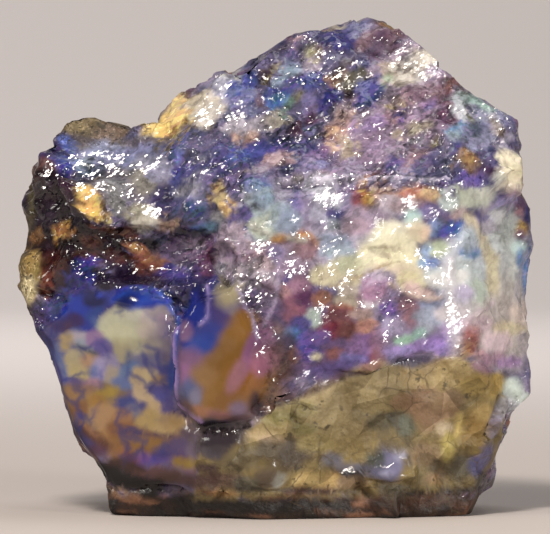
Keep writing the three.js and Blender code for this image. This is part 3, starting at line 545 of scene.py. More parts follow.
right_patches = [
    ("#adb3b0", 26.5, 29.7, 2.2, 5.0), ("#b1b7c2", 22.2, 27.8, 3.0, 4.1),
    ("#afa7a3", 26.0, 22.0, 3.8, 3.8), ("#8a7e9d", 17.0, 21.5, 4.1, 3.1),
    ("#ae7f65", 15.7, 37.0, 2.8, 0.7), ("#9f6957", 15.0, 37.1, 0.8, 0.6),
    ("#b99c78", 17.7, 37.1, 0.9, 0.7), ("#a199a6", 13.4, 35.9, 1.4, 0.9),
    ("#93828a", 14.8, 35.7, 1.6, 0.6), ("#b7bead", 22.1, 36.4, 2.6, 0.9, 8),
    ("#b0b3aa", 23.6, 36.8, 0.9, 0.6), ("#a5b0b0", 19.6, 36.2, 1.1, 0.7),
    ("#5d4999", 21.9, 38.2, 1.4, 0.4), ("#58517d", 19.9, 38.5, 1.2, 0.9),
    ("#e8dfc3", 26.7, 38.8, 1.4, 1.1), ("#b4b7ae", 25.4, 38.7, 0.7, 0.7),
    ("#806b74", 27.6, 37.0, 1.0, 0.8), ("#5b405f", 28.6, 35.9, 0.8, 0.6),
    ("#9f7685", 28.4, 34.7, 0.5, 0.4), ("#867eab", 26.5, 35.9, 1.6, 0.3, 10),
    ("#5d558a", 24.1, 34.1, 1.1, 0.4), ("#c2c5cb", 25.6, 34.5, 0.6, 0.6),
    ("#b39ea2", 21.1, 34.4, 1.2, 0.7, -45), ("#c6baa2", 22.8, 33.2, 1.5, 0.7, -55),
    ("#b8b099", 24.1, 30.9, 2.0, 0.6, -75), ("#bcb498", 25.0, 27.8, 2.5, 0.7, -87),
    ("#6d618b", 17.9, 34.7, 1.6, 0.6), ("#a4bebe", 15.6, 34.4, 0.7, 0.7),
    ("#728bb5", 18.2, 33.2, 0.9, 0.8), ("#3b3b93", 19.3, 32.8, 0.8, 0.6, 20),
    ("#2d55a6", 20.6, 33.2, 1.0, 0.7, 20), ("#d9d6c2", 14.2, 32.4, 2.3, 1.2),
    ("#d1c5ac", 16.0, 32.6, 1.0, 1.1), ("#c9b19e", 17.0, 32.6, 0.8, 0.4, 60),
    ("#d9d6ba", 11.9, 30.3, 2.6, 1.6, 20), ("#dcd6b7", 14.2, 29.4, 1.8, 2.0),
    ("#d1c5af", 12.7, 28.1, 1.8, 0.6), ("#cec5ac", 15.7, 27.6, 1.4, 0.9),
    ("#c9c09d", 14.7, 27.1, 1.2, 0.7), ("#c2bc9b", 16.8, 27.1, 0.7, 0.4),
    ("#adb79e", 18.2, 30.8, 1.4, 0.8), ("#92abd1", 17.0, 30.6, 0.7, 0.7),
    ("#6d86c1", 17.6, 29.1, 1.0, 0.5, 10), ("#92b0ce", 16.6, 29.1, 0.4, 0.6),
    ("#b5bec2", 18.2, 27.9, 1.2, 0.7), ("#6586b8", 22.2, 30.5, 1.2, 0.6),
    ("#a5b0bd", 21.9, 32.1, 0.9, 1.0), ("#b8c3c7", 21.9, 28.3, 1.8, 1.2),
    ("#b1beb1", 23.0, 26.0, 1.2, 1.0), ("#b0a7c5", 21.7, 25.7, 0.9, 0.8),
    ("#c4aca8", 16.5, 26.0, 1.7, 0.6, -15), ("#ab9eb7", 11.9, 27.3, 1.6, 0.7),
    ("#9887ad", 12.7, 26.1, 1.2, 0.8), ("#92708d", 11.3, 26.0, 1.5, 0.8),
    ("#6e569f", 13.1, 23.8, 0.9, 0.6), ("#6e5565", 15.5, 24.7, 1.4, 0.7),
    ("#8e6473", 15.6, 23.3, 0.9, 1.0), ("#838fb1", 18.0, 24.5, 1.3, 0.8),
    ("#9099ae", 17.3, 23.1, 1.6, 0.8), ("#948ba9", 13.4, 22.3, 0.9, 0.7),
    ("#878f9c", 16.6, 21.7, 1.2, 0.5, 20), ("#89afa7", 16.0, 21.1, 0.9, 0.4, 25),
    ("#92bba3", 14.6, 20.6, 1.0, 0.4, 15), ("#8068a5", 17.0, 20.0, 2.3, 0.7, 15),
    ("#8f7eb8", 14.2, 19.2, 1.8, 0.6), ("#937ab4", 19.9, 21.3, 0.8, 1.0),
    # c5c5c5 and #bbb4bb, the pale upright strips at x 20, are a painted highlight along the rounded upright
    # edge
    ("#8570b3", 19.4, 19.3, 1.0, 0.7), ("#c5c5c5", 19.8, 27.5, 0.7, 2.5, 90),
    ("#bbb4bb", 20.2, 23.6, 0.7, 1.8, 90), ("#b39ea6", 23.5, 22.1, 1.3, 1.0),
    ("#a57b7e", 22.4, 20.9, 0.8, 0.8), ("#915c54", 22.0, 19.9, 0.9, 1.1),
    ("#966444", 21.6, 19.1, 0.7, 0.6), ("#c5b59a", 26.5, 21.5, 1.4, 0.6),
    ("#bbb094", 27.7, 21.4, 1.3, 0.7), ("#c1acb4", 25.5, 20.1, 1.7, 0.9),
    ("#c5b5ad", 28.6, 23.0, 1.0, 1.0), ("#96758a", 25.2, 18.2, 1.5, 0.7),
    ("#aa848f", 23.4, 18.9, 0.6, 0.4), ("#92759f", 27.2, 17.7, 1.5, 0.5),
    ("#af8c4b", 28.6, 32.8, 0.8, 0.5, 60), ("#654d69", 28.4, 32.0, 0.5, 0.6),
    ("#a4b9b9", 28.2, 30.9, 0.7, 0.7), ("#5c7daf", 28.5, 29.5, 0.4, 1.0),
    ("#3c5089", 29.6, 29.8, 0.3, 1.9), ("#4f74b6", 29.3, 27.4, 0.3, 2.0),
    ("#9d99a6", 24.6, 33.2, 0.9, 0.6),
]
window_patches = [
    ("#252d74", -18.9, 22.7, 6.5, 3.1), ("#444d82", -18.5, 18.5, 6.8, 3.3),
    ("#4c4677", -18.8, 16.1, 6.8, 1.6), ("#6f523c", -17.0, 11.2, 7.4, 4.5),
    ("#6b594e", -20.7, 14.2, 4.1, 1.2), ("#453f75", -13.6, 14.3, 3.1, 1.8),
    ("#150b21", -16.2, 27.0, 3.3, 1.4), ("#181964", -21.9, 27.2, 1.6, 1.5),
    ("#181855", -23.3, 25.5, 0.9, 1.2), ("#1c318e", -22.5, 24.1, 1.6, 1.6),
    ("#223085", -21.2, 22.1, 1.1, 0.9), ("#2f1f4e", -22.9, 22.4, 1.1, 0.7),
    ("#3d2945", -24.6, 21.8, 1.1, 0.7), ("#23378d", -17.7, 24.6, 1.1, 0.9),
    ("#312664", -18.3, 23.6, 1.0, 0.7), ("#1e469b", -15.0, 25.1, 2.7, 0.9, 3),
    ("#1e469b", -13.5, 24.5, 1.7, 0.6), ("#173790", -15.8, 24.0, 1.1, 0.9),
    ("#263e82", -20.6, 23.5, 1.2, 0.5, 40), ("#46588e", -20.1, 22.1, 1.0, 0.5, -50),
    ("#aeae97", -15.4, 21.9, 4.1, 2.3, 8), ("#b3b3a4", -15.0, 23.3, 1.6, 0.8),
    ("#b4aaa4", -13.3, 22.9, 1.7, 1.2), ("#b8a2a9", -12.4, 21.4, 0.8, 1.9),
    ("#b0a69c", -14.2, 20.8, 2.2, 1.5), ("#aeae94", -17.7, 20.8, 2.2, 1.2),
    ("#9f9c7f", -16.2, 19.9, 2.5, 0.7), ("#918a71", -17.8, 18.8, 1.4, 1.0),
    ("#8d867a", -13.5, 19.4, 1.6, 1.0), ("#7b7175", -12.8, 18.6, 0.9, 1.0),
    ("#696980", -14.5, 18.3, 1.7, 0.4), ("#5d5d7d", -15.1, 17.6, 1.0, 0.5),
    ("#525871", -16.8, 18.1, 1.0, 0.3, 80), ("#968f9a", -22.6, 20.5, 1.4, 0.7),
    ("#808a98", -21.3, 19.7, 1.5, 0.7), ("#9a875c", -24.1, 20.1, 0.9, 0.9),
    ("#7d638a", -20.6, 20.4, 0.9, 0.9), ("#504681", -19.6, 18.8, 0.9, 1.4),
    ("#9c8f6a", -22.6, 17.5, 1.6, 1.5), ("#948b72", -22.5, 18.7, 1.2, 0.7),
    ("#96775c", -21.1, 17.9, 0.9, 0.6), ("#9c8f67", -22.1, 16.4, 1.2, 0.6),
    ("#424857", -21.7, 19.2, 1.4, 0.2, -25), ("#505d8c", -24.6, 17.9, 2.3, 0.3, -75),
    ("#8e87aa", -19.9, 16.9, 0.8, 1.1), ("#636d9b", -20.7, 16.4, 0.4, 1.0),
    ("#7d7697", -18.7, 17.6, 0.7, 0.9), ("#8c8276", -18.4, 16.4, 0.9, 0.9),
    ("#96747d", -20.9, 15.2, 0.8, 0.7), ("#7e6369", -22.6, 15.3, 0.9, 0.5),
    ("#55688c", -17.0, 16.1, 0.9, 1.4), ("#54618d", -17.5, 15.4, 1.0, 0.7),
    ("#51688f", -16.1, 17.2, 0.7, 0.7), ("#a3906d", -15.1, 16.0, 1.3, 1.2),
    ("#a49471", -14.2, 16.2, 0.9, 0.9), ("#927645", -12.9, 15.8, 1.1, 0.6),
    ("#3f3353", -13.2, 14.8, 1.1, 0.2), ("#a39074", -15.1, 13.8, 1.5, 0.9, -60),
    ("#a89475", -14.3, 12.9, 1.1, 0.9), ("#a28c6a", -13.5, 12.0, 1.4, 1.1),
    ("#424282", -12.8, 14.3, 0.9, 0.9), ("#3d3772", -12.0, 12.7, 0.9, 1.0),
    ("#342953", -10.7, 12.2, 1.0, 0.7), ("#2e3771", -17.1, 13.1, 1.2, 0.6),
    ("#333367", -15.4, 12.3, 0.7, 0.9), ("#322f5a", -15.7, 10.9, 0.8, 0.3),
    ("#646171", -16.3, 12.1, 0.8, 0.7), ("#806243", -22.2, 13.9, 1.9, 1.4),
    ("#866e4b", -20.9, 11.9, 2.2, 1.9), ("#877131", -19.4, 14.2, 1.1, 0.5),
    ("#877238", -18.6, 14.6, 0.7, 0.4), ("#836231", -20.4, 13.3, 1.0, 0.7),
    ("#6e4b32", -22.5, 12.3, 0.9, 1.0), ("#8d6f51", -19.4, 11.4, 1.6, 1.2),
    ("#835f42", -17.4, 11.3, 1.2, 1.0), ("#99835b", -12.4, 10.8, 2.5, 0.9, 12),
    ("#947e51", -14.7, 11.2, 1.2, 0.8, 30), ("#8f764d", -11.7, 11.0, 1.2, 0.7),
    ("#76532a", -16.3, 9.0, 2.9, 1.0), ("#6d482d", -17.8, 9.9, 1.4, 0.9),
    ("#72522a", -14.5, 8.5, 1.9, 0.7), ("#4a3441", -14.5, 9.6, 3.1, 0.2, -5),
    ("#2e2346", -22.4, 9.6, 1.2, 0.9, -55), ("#322c59", -21.3, 8.3, 1.0, 0.7, -20),
    ("#403a64", -22.6, 11.0, 0.5, 0.8), ("#4a2d44", -20.2, 7.6, 1.0, 0.7),
    ("#84623d", -19.4, 9.0, 1.0, 0.3, -50), ("#765332", -18.6, 7.7, 1.2, 0.5, -60),
    ("#805430", -17.4, 6.7, 0.7, 0.9), ("#56353a", -16.3, 6.5, 1.2, 0.7),
    ("#4e3f7c", -13.6, 6.7, 1.9, 0.5, 15), ("#3f335c", -12.0, 7.9, 1.4, 0.7, 30),
    ("#624074", -15.1, 6.9, 0.7, 0.5), ("#755d2a", -10.1, 6.4, 1.7, 0.6, -5),
    ("#7e6931", -9.2, 6.3, 0.8, 0.4), ("#51454e", -9.7, 9.5, 1.0, 1.3),
    ("#4a3b5e", -10.6, 8.2, 1.0, 1.0), ("#5e5164", -9.1, 7.9, 0.7, 0.9),
    ("#5b4d45", -8.9, 10.8, 0.8, 0.7), ("#482d2b", -13.6, 5.1, 2.9, 0.7),
    ("#5c3630", -16.1, 5.3, 1.1, 0.5), ("#3a2520", -9.8, 4.5, 3.5, 0.7),
    # 090505 and #050403 are painted shadow in the undercut low on the left
    ("#493439", -7.9, 5.9, 1.2, 0.4), ("#090505", -18.8, 4.9, 1.9, 1.0, -35),
    ("#050403", -15.9, 3.6, 2.5, 0.9, -20), ("#4f4952", -19.2, 4.0, 0.9, 0.5),
    ("#866a4d", -18.2, 2.8, 1.0, 0.3, -15),
]
tongue_patches = [
    ("#3d3158", -6.3, 20.9, 5.3, 6.1), ("#6f4f24", -4.4, 16.8, 3.2, 4.9, 60),
    ("#110f34", -9.1, 24.5, 2.0, 2.4), ("#1a1f6a", -9.1, 23.8, 1.5, 1.8),
    ("#1e297c", -8.9, 24.1, 0.9, 1.0), ("#16123b", -7.8, 25.8, 0.8, 1.5),
    ("#1d226b", -6.7, 26.3, 0.9, 1.0), ("#17226d", -8.5, 21.3, 2.2, 1.6),
    ("#1e296f", -7.0, 22.5, 1.5, 1.5), ("#1c307a", -7.5, 20.4, 1.2, 0.7),
    ("#1f367f", -8.6, 19.7, 1.5, 0.7), ("#6a5170", -10.3, 21.4, 0.6, 0.9),
    ("#31265e", -5.8, 24.0, 1.3, 1.1), ("#382a6b", -4.4, 24.5, 0.9, 0.9),
    ("#6f4f20", -4.3, 20.2, 2.8, 1.3, 72), ("#745125", -3.4, 22.2, 1.0, 1.5),
    ("#6d4d26", -5.2, 17.0, 1.9, 2.1), ("#75552a", -6.8, 14.1, 2.2, 1.8),
    ("#774e25", -3.0, 15.5, 1.4, 2.2), ("#704e2d", -4.5, 13.3, 1.9, 1.2),
    ("#7e522f", -1.7, 16.6, 0.8, 1.2), ("#7b5275", -2.8, 19.0, 2.6, 0.5, 68),
    ("#815a63", -4.4, 16.3, 1.8, 0.6, 62), ("#674361", -1.5, 20.5, 1.9, 0.9, 70),
    ("#774c5d", -1.0, 18.2, 0.9, 1.2), ("#87586c", -1.6, 17.8, 0.7, 1.0),
    ("#694a6c", -9.7, 17.9, 1.1, 1.1), ("#785278", -10.2, 16.2, 0.5, 1.5),
    ("#434c73", -9.7, 14.8, 0.9, 0.9), ("#666379", -9.1, 14.0, 0.5, 0.7),
    ("#7a5c3b", -8.0, 16.4, 1.2, 0.9), ("#875e47", -7.7, 12.2, 1.5, 0.4, -15),
    ("#7f5353", -6.2, 12.0, 1.2, 0.3), ("#64546a", -4.1, 12.6, 0.9, 0.7),
    ("#90876c", -5.2, 25.9, 1.1, 1.1), ("#211224", -2.2, 13.4, 0.6, 1.2),
]
host_rock_and_foot_patches = [
    ("#8d7e59", 9.6, 14.3, 4.8, 2.0, 10), ("#968763", 5.4, 13.3, 2.9, 1.3, 20),
    ("#857651", 7.7, 11.8, 3.5, 1.9), ("#968763", 12.3, 16.1, 3.8, 1.3),
    ("#9b885f", 18.2, 16.2, 3.8, 1.3), ("#a49165", 20.5, 16.9, 1.9, 1.3),
    ("#9e884e", 24.1, 15.1, 2.8, 1.3), ("#ad9251", 25.6, 15.0, 1.0, 1.1),
    ("#876c4f", 14.7, 13.4, 1.4, 0.9), ("#896c53", 17.7, 12.6, 2.5, 1.9),
    ("#887053", 19.6, 13.4, 2.0, 1.1), ("#554e37", 12.1, 11.0, 1.7, 0.9),
    ("#443f30", 13.8, 11.5, 0.9, 0.6), ("#585c50", 14.9, 10.5, 0.9, 1.1),
    ("#8d8257", 1.9, 12.5, 2.5, 1.0), ("#7b734c", 0.3, 11.6, 2.2, 0.6),
    ("#686137", 3.2, 10.4, 1.3, 0.6), ("#a5916c", -1.6, 9.6, 2.1, 0.4, -5),
    ("#ae977c", -0.4, 9.1, 1.4, 0.4), ("#352c2f", -6.1, 9.3, 2.4, 2.1),
    ("#323446", -7.1, 10.1, 0.9, 1.1), ("#42393c", -5.0, 9.9, 1.1, 1.2),
    ("#423d48", -7.1, 7.8, 1.1, 0.9), ("#31241e", -3.2, 10.8, 0.6, 0.5),
    ("#675c44", -3.9, 6.8, 1.9, 1.2), ("#544836", 0.8, 7.4, 2.7, 1.5), ("#4c4136", 2.0, 7.5, 1.3, 1.3),
    ("#52463c", -0.9, 4.6, 1.5, 1.0), ("#919188", 0.5, 4.5, 0.9, 0.5, 60),
    ("#8c7e52", 4.7, 8.8, 1.9, 0.9), ("#6a6a7a", 6.3, 6.7, 1.1, 0.7), ("#5c5c6c", 9.1, 5.5, 2.8, 0.7),
    ("#58585f", 8.2, 4.9, 1.1, 0.5), ("#5a5a77", 12.8, 6.2, 1.8, 1.6), ("#74728e", 13.7, 6.5, 0.9, 0.9),
    ("#9b9bb0", 14.4, 7.3, 0.8, 0.3, 20), ("#9191aa", 12.7, 5.3, 0.6, 0.3),
    ("#464a42", 11.4, 6.9, 1.0, 0.7), ("#443d33", 15.5, 7.3, 0.4, 1.3), ("#b8a065", 4.7, 4.3, 2.5, 0.9),
    ("#bda56d", 3.5, 4.3, 1.1, 0.9), ("#ad925e", 6.4, 4.5, 0.9, 1.0), ("#8b755b", 8.9, 4.1, 1.8, 0.6),
    ("#554e3d", 13.3, 3.5, 1.5, 0.4), ("#8b7558", 17.1, 7.3, 1.4, 1.1),
    ("#b0a086", 19.6, 10.1, 1.3, 0.7), ("#afa05d", 19.9, 8.1, 1.5, 0.8, 80),
    ("#beaa6a", 21.0, 10.3, 1.5, 0.4, 85), ("#8a703f", 23.0, 9.7, 2.8, 1.3, 75),
    ("#a48d5a", 24.1, 11.9, 1.3, 0.7), ("#826f42", 22.5, 7.3, 1.1, 0.9),
    ("#54462f", 19.0, 5.7, 0.9, 0.9), ("#433d30", 21.3, 5.8, 1.3, 1.3),
    ("#a2845f", 18.3, 4.4, 1.1, 0.5), ("#46467b", 23.2, 5.7, 0.7, 1.1),
    ("#6a6696", 24.3, 6.8, 1.4, 0.6, 70), ("#8c88b1", 25.3, 10.9, 1.9, 0.5, 70),
    ("#423d39", 24.1, 3.7, 0.8, 1.1), ("#c0cdc5", 27.4, 14.0, 1.1, 1.1),
    ("#b4b4bd", 26.6, 12.6, 0.9, 0.9), ("#49445c", 15.4, 18.1, 2.1, 0.7, 3),
    ("#886359", 10.9, 17.4, 1.2, 0.4, 10), ("#917185", 23.6, 17.3, 1.4, 0.6, -20),
    ("#4e2620", 4.0, 3.2, 3.0, 0.4), ("#4f2b1e", 7.7, 2.0, 2.3, 0.4), ("#482a1c", 11.2, 1.9, 3.5, 0.5),
    ("#1c0e0b", 14.3, 2.7, 4.0, 0.2, 3), ("#1a0b06", 7.7, 1.4, 17.6, 0.5),
    ("#40261b", 5.9, 2.2, 2.3, 0.3), ("#593928", 0.8, 2.5, 3.0, 0.2), ("#0e0604", -0.9, 1.5, 8.3, 0.6),
    ("#593928", 18.3, 1.9, 4.3, 0.5, 3), ("#2a150f", 20.7, 2.9, 3.5, 0.3, 5),
    ("#593928", 21.5, 1.5, 1.5, 0.4), ("#382016", 13.5, 1.3, 3.5, 0.3), ("#95674b", 9.6, 1.7, 0.7, 0.3),
    ("#9e7244", -6.2, 3.0, 1.5, 0.2), ("#613b28", -7.8, 3.2, 1.0, 0.2),
    ("#523a33", -6.2, 4.4, 2.8, 0.9), ("#696557", -3.4, 4.2, 1.3, 0.6),
]
rims_and_shadow_patches = [
    ("#1e3989", -11.4, 19.3, 0.3, 3.5, -2), ("#173279", -11.6, 16.3, 0.6, 1.6),
    ("#22418b", -11.2, 22.2, 0.3, 1.8), ("#1d3a96", -14.8, 25.0, 2.6, 0.9, 4),
    # 0e1647, #0e1340 and #070717 are painted shadow in dark navy along the window's top edge, under the ledge
    # above it
    ("#0e1647", -16.9, 24.8, 1.2, 0.6, 25), ("#0e1340", -20.6, 25.0, 1.4, 0.8),
    ("#070717", -12.4, 25.3, 1.0, 0.4, -20), ("#49291f", -20.7, 9.2, 2.3, 0.5, -38),
    ("#7e5a42", -21.3, 9.9, 1.4, 0.2, -42), ("#2e1a18", -17.1, 5.9, 2.3, 0.6, -12),
    # 090505 and #040202 are painted shadow in the undercut low on the left
    ("#090505", -18.0, 4.5, 2.5, 1.0, -22), ("#040202", -15.1, 3.8, 2.5, 0.8, -8),
    ("#23181b", -6.7, 10.3, 2.2, 0.6), ("#18141a", -7.1, 10.9, 2.0, 0.3),
    ("#312a30", -6.3, 8.8, 1.8, 1.0),
]
# How soft the edges of each region's patches are, how much they cover, and how square they are
regions = [
    (0.35, 0.95, 2, top_left_patches),
    (0.35, 0.93, 2, top_middle_patches),
    (0.35, 0.93, 2, top_right_patches),
    (0.45, 0.93, 2, under_the_ridge_patches),
    (0.6, 0.94, 2, right_patches),
    (0.3, 0.94, 2.6, window_patches),
    (0.8, 0.94, 2, tongue_patches),
    (0.45, 0.9, 2, host_rock_and_foot_patches),
    (0.35, 0.95, 2, rims_and_shadow_patches),
]


def linear(code):
    """A colour code as light."""
    value = np.array([int(code[i:i + 2], 16) for i in (1, 3, 5)]) / 255
    return np.where(value <= 0.04045, value / 12.92, ((value + 0.055) / 1.055) ** 2.4)


def blend(colours, other, share):
    """Colours with a share of another laid over them."""
    return colours + (other - colours) * share[:, None]


def cloud(colours, where, *clouds):
    """Colours with clouds over them: each one's colour, size in mm and seed, and where it starts and ends."""
    for code, wave, seed, low, high in clouds:
        colours = blend(colours, linear(code), where * fade(rough(place, wave, seed), low, high))
    return colours


# The ground colour under the patches: violet, lilac and indigo run into each other, and off the best
# face come milky, cream and amber clouds as well
ground = np.tile(linear("#524c72"), (len(place), 1))
ground = cloud(
    ground, 1.0, ("#2e2c5e", 5, 50, 0.0, 0.3), ("#7a708c", 4, 51, 0.05, 0.35),
    ("#664c64", 3.5, 52, 0.15, 0.4),
)
behind = fade(deep, -2, 5)
ground = cloud(
    ground, behind, ("#33457f", 9, 53, 0.1, 0.22), ("#a9adb8", 10, 54, 0.12, 0.3),
    ("#bfb48e", 9, 55, 0.2, 0.28), ("#8a5c28", 8, 56, 0.22, 0.3),
)

# The strip left of the window turns away from the front, and is painted dark violet as painted shade
turned_away = fade(facing[:, 1], -0.75, -0.35)
shaded_left_edge = fade(-across, 13, 17) * fade(28 - up, 0, 4) * turned_away * fade(8 - deep, 0, 4)
ground = blend(ground, linear("#3a3262"), shaded_left_edge)

# Rock and rind: olive brown, and dark layers in the foot
rind_hue = np.tile(linear("#4e412c"), (len(place), 1))
rind_hue = cloud(rind_hue, 1.0, ("#8c7044", 2.4, 70, 0.0, 0.4), ("#2a1c14", 1.8, 71, 0.05, 0.35))
rind_hue = blend(rind_hue, linear("#26120b"), 0.94 * foot)
rind_hue = cloud(rind_hue, foot, ("#120906", 3, 73, 0.0, 0.3))
layers = fade(roll(place * (0.3, 0.3, 2.0), 1.6, 72), 0.2, 0.45)
rind_hue = blend(rind_hue, linear("#664430"), foot * layers)
ground = blend(ground, rind_hue, rind)
ground = blend(ground, linear("#807048"), host)

# Patches run into each other in ragged edges, and each flake bends the sight of the colours under it
hue = ground
warp = 0.7 * roll(place, 2.6, 60) + 0.5 * roll(place, 1.3, 61) + 0.3 * hackle * roll(place, 0.7, 59)
drift = np.stack([rough(place, 3.4, 62), rough(place, 3.4, 65)])
bend = hackle * (0.28 * coarse_lean + 0.26 * fine_lean)[:, [0, 2]].T
for softness, cover, square, patches in regions:
    for code, x, z, half_width, half_height, *turn in patches:
        small = min(half_width, half_height)
        du, dw = np.stack([across - x, up - z]) + drift * min(0.5 * small, 0.8) + bend
        angle = math.radians(sum(turn))
        c, s = math.cos(angle), math.sin(angle)
        u, w = np.abs(du * c + dw * s) / half_width, np.abs(dw * c - du * s) / half_height
        reach = (u**square + w**square) ** (1 / square)
        steep = np.hypot(u ** (square - 1) / half_width, w ** (square - 1) / half_height)
        steep = steep / np.maximum(reach, 0.01) ** (square - 1)
        inside = (1 - reach) / np.maximum(steep * small, 0.01)
        soft = max(softness, (0.36 + 0.03 * (square > 2)) / small)
        share = fade(inside + softness * 0.5 - 0.4 * warp, -soft, soft)
        hue = blend(hue, linear(code), cover * share * front)

# Painted highlight along the flake edges, and the colours of the thin lines, some of which are painted
# highlight and shade
edges = 0.45 * hackle * np.maximum(0.6 * coarse_edge, 0.5 * fine_edge)
hue = blend(hue, hue * 1.2 + linear("#8c84a0") * 0.16, edges)
# Painted sheen: a pale veil laid where the flakes catch the lamps, on top of the glints
painted_sheen = fade(roll(place, 1.0, 67) + 0.5 * roll(place, 2.5, 69), -0.1, 0.5)
hue = blend(hue, linear("#c4c4d0"), 0.35 * hackle * np.minimum(bright, 1) * painted_sheen)
for (code, *_), stripe in zip(lines_and_painted_light, stripes_and_painted_light):
    hue = blend(hue, linear(code), 0.8 * stripe)

dull = np.maximum(host, rind) * (1 - 0.9 * bead)


def keep(name, values):
    """Stores one number for each point of the surface under a name."""
    kept = mesh.attributes.new(name, "FLOAT", "POINT")
    kept.data.foreach_set("value", values.astype(np.float32))


keep("dull", dull)
keep("bright", bright)
keep("window", window * fade(up, 5, 8))
keep("hackle", np.clip(hackle + 0.25 * clear_face, 0, 1))
grainy = np.maximum.reduce([rim_grain, left_rind, 0.1 * foot, 0.6 * rind_back])
keep("grainy", np.clip(grainy, 0, 1))
stored = mesh.attributes.new("hue", "FLOAT_COLOR", "POINT")
stored.data.foreach_set("color", np.hstack([hue, np.ones((len(place), 1))]).astype(np.float32).ravel())
upright = upright + (shaded_left_edge * fade(-upright[:, 1], 0.05, 0.4))[:, None] * (0.3, -1.2, 0.1)
upright /= np.linalg.norm(upright, axis=1)[:, None]
for name, ways in (("upright", upright), ("lit_from", lit_from)):
    stored = mesh.attributes.new(name, "FLOAT_VECTOR", "POINT")
    stored.data.foreach_set("vector", ways.astype(np.float32).ravel())
for face in mesh.polygons:
    face.use_smooth = True

# The finish: clear colours under a glassy skin that glints from small flakes, and matt rock and rind
finish = bpy.data.materials.new("opal")
finish.use_nodes = True
tree = finish.node_tree
shader = tree.nodes["Principled BSDF"]


def node(kind, links=None, **settings):
    """A node with its settings, and its inputs linked or set by name or number."""
    made = tree.nodes.new(kind)
    for name, value in settings.items():
        setattr(made, name, value)
    for socket, value in (links or {}).items():
        if isinstance(value, bpy.types.NodeSocket):
            tree.links.new(value, made.inputs[socket])
        else:
            made.inputs[socket].default_value = value
    return made


def stored_value(name, kind="Fac"):
    """What keep stored under a name."""
    return node("ShaderNodeAttribute", attribute_name=name).outputs[kind]


spot = node("ShaderNodeTexCoord").outputs["Object"]
hue_node = stored_value("hue", "Color")
dull_node = stored_value("dull")
hackle_node = stored_value("hackle")
grainy_node = stored_value("grainy")
bright_node = stored_value("bright")
window_node = stored_value("window")
lit_node = stored_value("lit_from", "Vector")
upright_node = stored_value("upright", "Vector")


def ramp(value, low, high, start=0.0, end=1.0):
    """A value stretched so that low becomes start and high becomes end."""
    span = {"Value": value, "From Min": low, "From Max": high, "To Min": start, "To Max": end}
    return node("ShaderNodeMapRange", span, interpolation_type="SMOOTHSTEP").outputs["Result"]


def product(a, b):
    return node("ShaderNodeMath", {0: a, 1: b}, operation="MULTIPLY").outputs[0]


def total(a, b):
    return node("ShaderNodeMath", {0: a, 1: b}, operation="ADD").outputs[0]


def larger(a, b):
    return node("ShaderNodeMath", {0: a, 1: b}, operation="MAXIMUM").outputs[0]


def vector(operation, *inputs):
    """Arithmetic on vectors."""
    return node("ShaderNodeVectorMath", dict(enumerate(inputs)), operation=operation).outputs[0]


def scaled(way, by):
    """A vector made longer or shorter."""
    return node("ShaderNodeVectorMath", {0: way, "Scale": by}, operation="SCALE").outputs[0]


def paint(code):
    """A colour code as a socket takes it."""
    return (*linear(code), 1)


def mixed(share, a, b, how="MIX"):
    """Colour a with a share of colour b."""
    return node("ShaderNodeMix", {"Factor": share, 6: a, 7: b}, data_type="RGBA", blend_type=how).outputs[2]


def tinted(colour, code):
    """A colour seen through a colour."""
    return mixed(1.0, colour, paint(code), "MULTIPLY")


def toned(colour, turn=0.5, saturation=1.0, value=1.0):
    """A colour with its hue turned, and its saturation and value changed."""
    change = {"Color": colour, "Hue": turn, "Saturation": saturation, "Value": value}
    return node("ShaderNodeHueSaturation", change).outputs["Color"]


def noise(scale, detail=3, roughness=0.5, kind="Fac"):
    """Soft noise, with scale hills to the metre."""
    cloud = {"Vector": spot, "Scale": scale, "Detail": detail, "Roughness": roughness}
    return node("ShaderNodeTexNoise", cloud).outputs[kind]


def pushed(scale, detail, reach):
    """The place of a point, pushed about by a noise by up to reach metres."""
    return vector("MULTIPLY_ADD", noise(scale, detail, kind="Color"), (reach, reach, reach), spot)


def from_edge(where, scale):
    """How far a point lies from the edge of its cell."""
    cells = {"Vector": where, "Scale": scale}
    return node("ShaderNodeTexVoronoi", cells, feature="DISTANCE_TO_EDGE").outputs["Distance"]


# The opal is broken in flat shards of three sizes, drawn out along one slanting grain
grain_slope = {"Vector": pushed(380, 1, 0.00025), "Axis": (0, 1, 0), "Angle": math.radians(35)}
slanted = node("ShaderNodeVectorRotate", grain_slope, rotation_type="AXIS_ANGLE").outputs[0]
slanted = vector("MULTIPLY", slanted, (0.62, 0.5, 1.4))


def shards(scale):
    """Flat shards of one size: the lean of each, and its chance of turning to a lamp."""
    middle = node("ShaderNodeTexVoronoi", {"Vector": slanted, "Scale": scale}).outputs["Position"]
    chance = node("ShaderNodeTexWhiteNoise", {"Vector": middle})
    return vector("SUBTRACT", chance.outputs["Color"], (0.5, 0.5, 0.5)), chance.outputs["Value"]


def when(chance, share):
    """1 on the share of shards whose chance is highest, more of them where it is bright."""
    reached = total(chance, product(share, bright_node))
    return node("ShaderNodeMath", {0: reached, 1: 1.0}, operation="GREATER_THAN").outputs[0]


broken = product(ramp(noise(170), 0.42, 0.6, 0.35, 1.0), hackle_node)
wide_lean, wide_chance = shards(330)
small_lean, small_chance = shards(1900)
tiny_lean, tiny_chance = shards(4200)

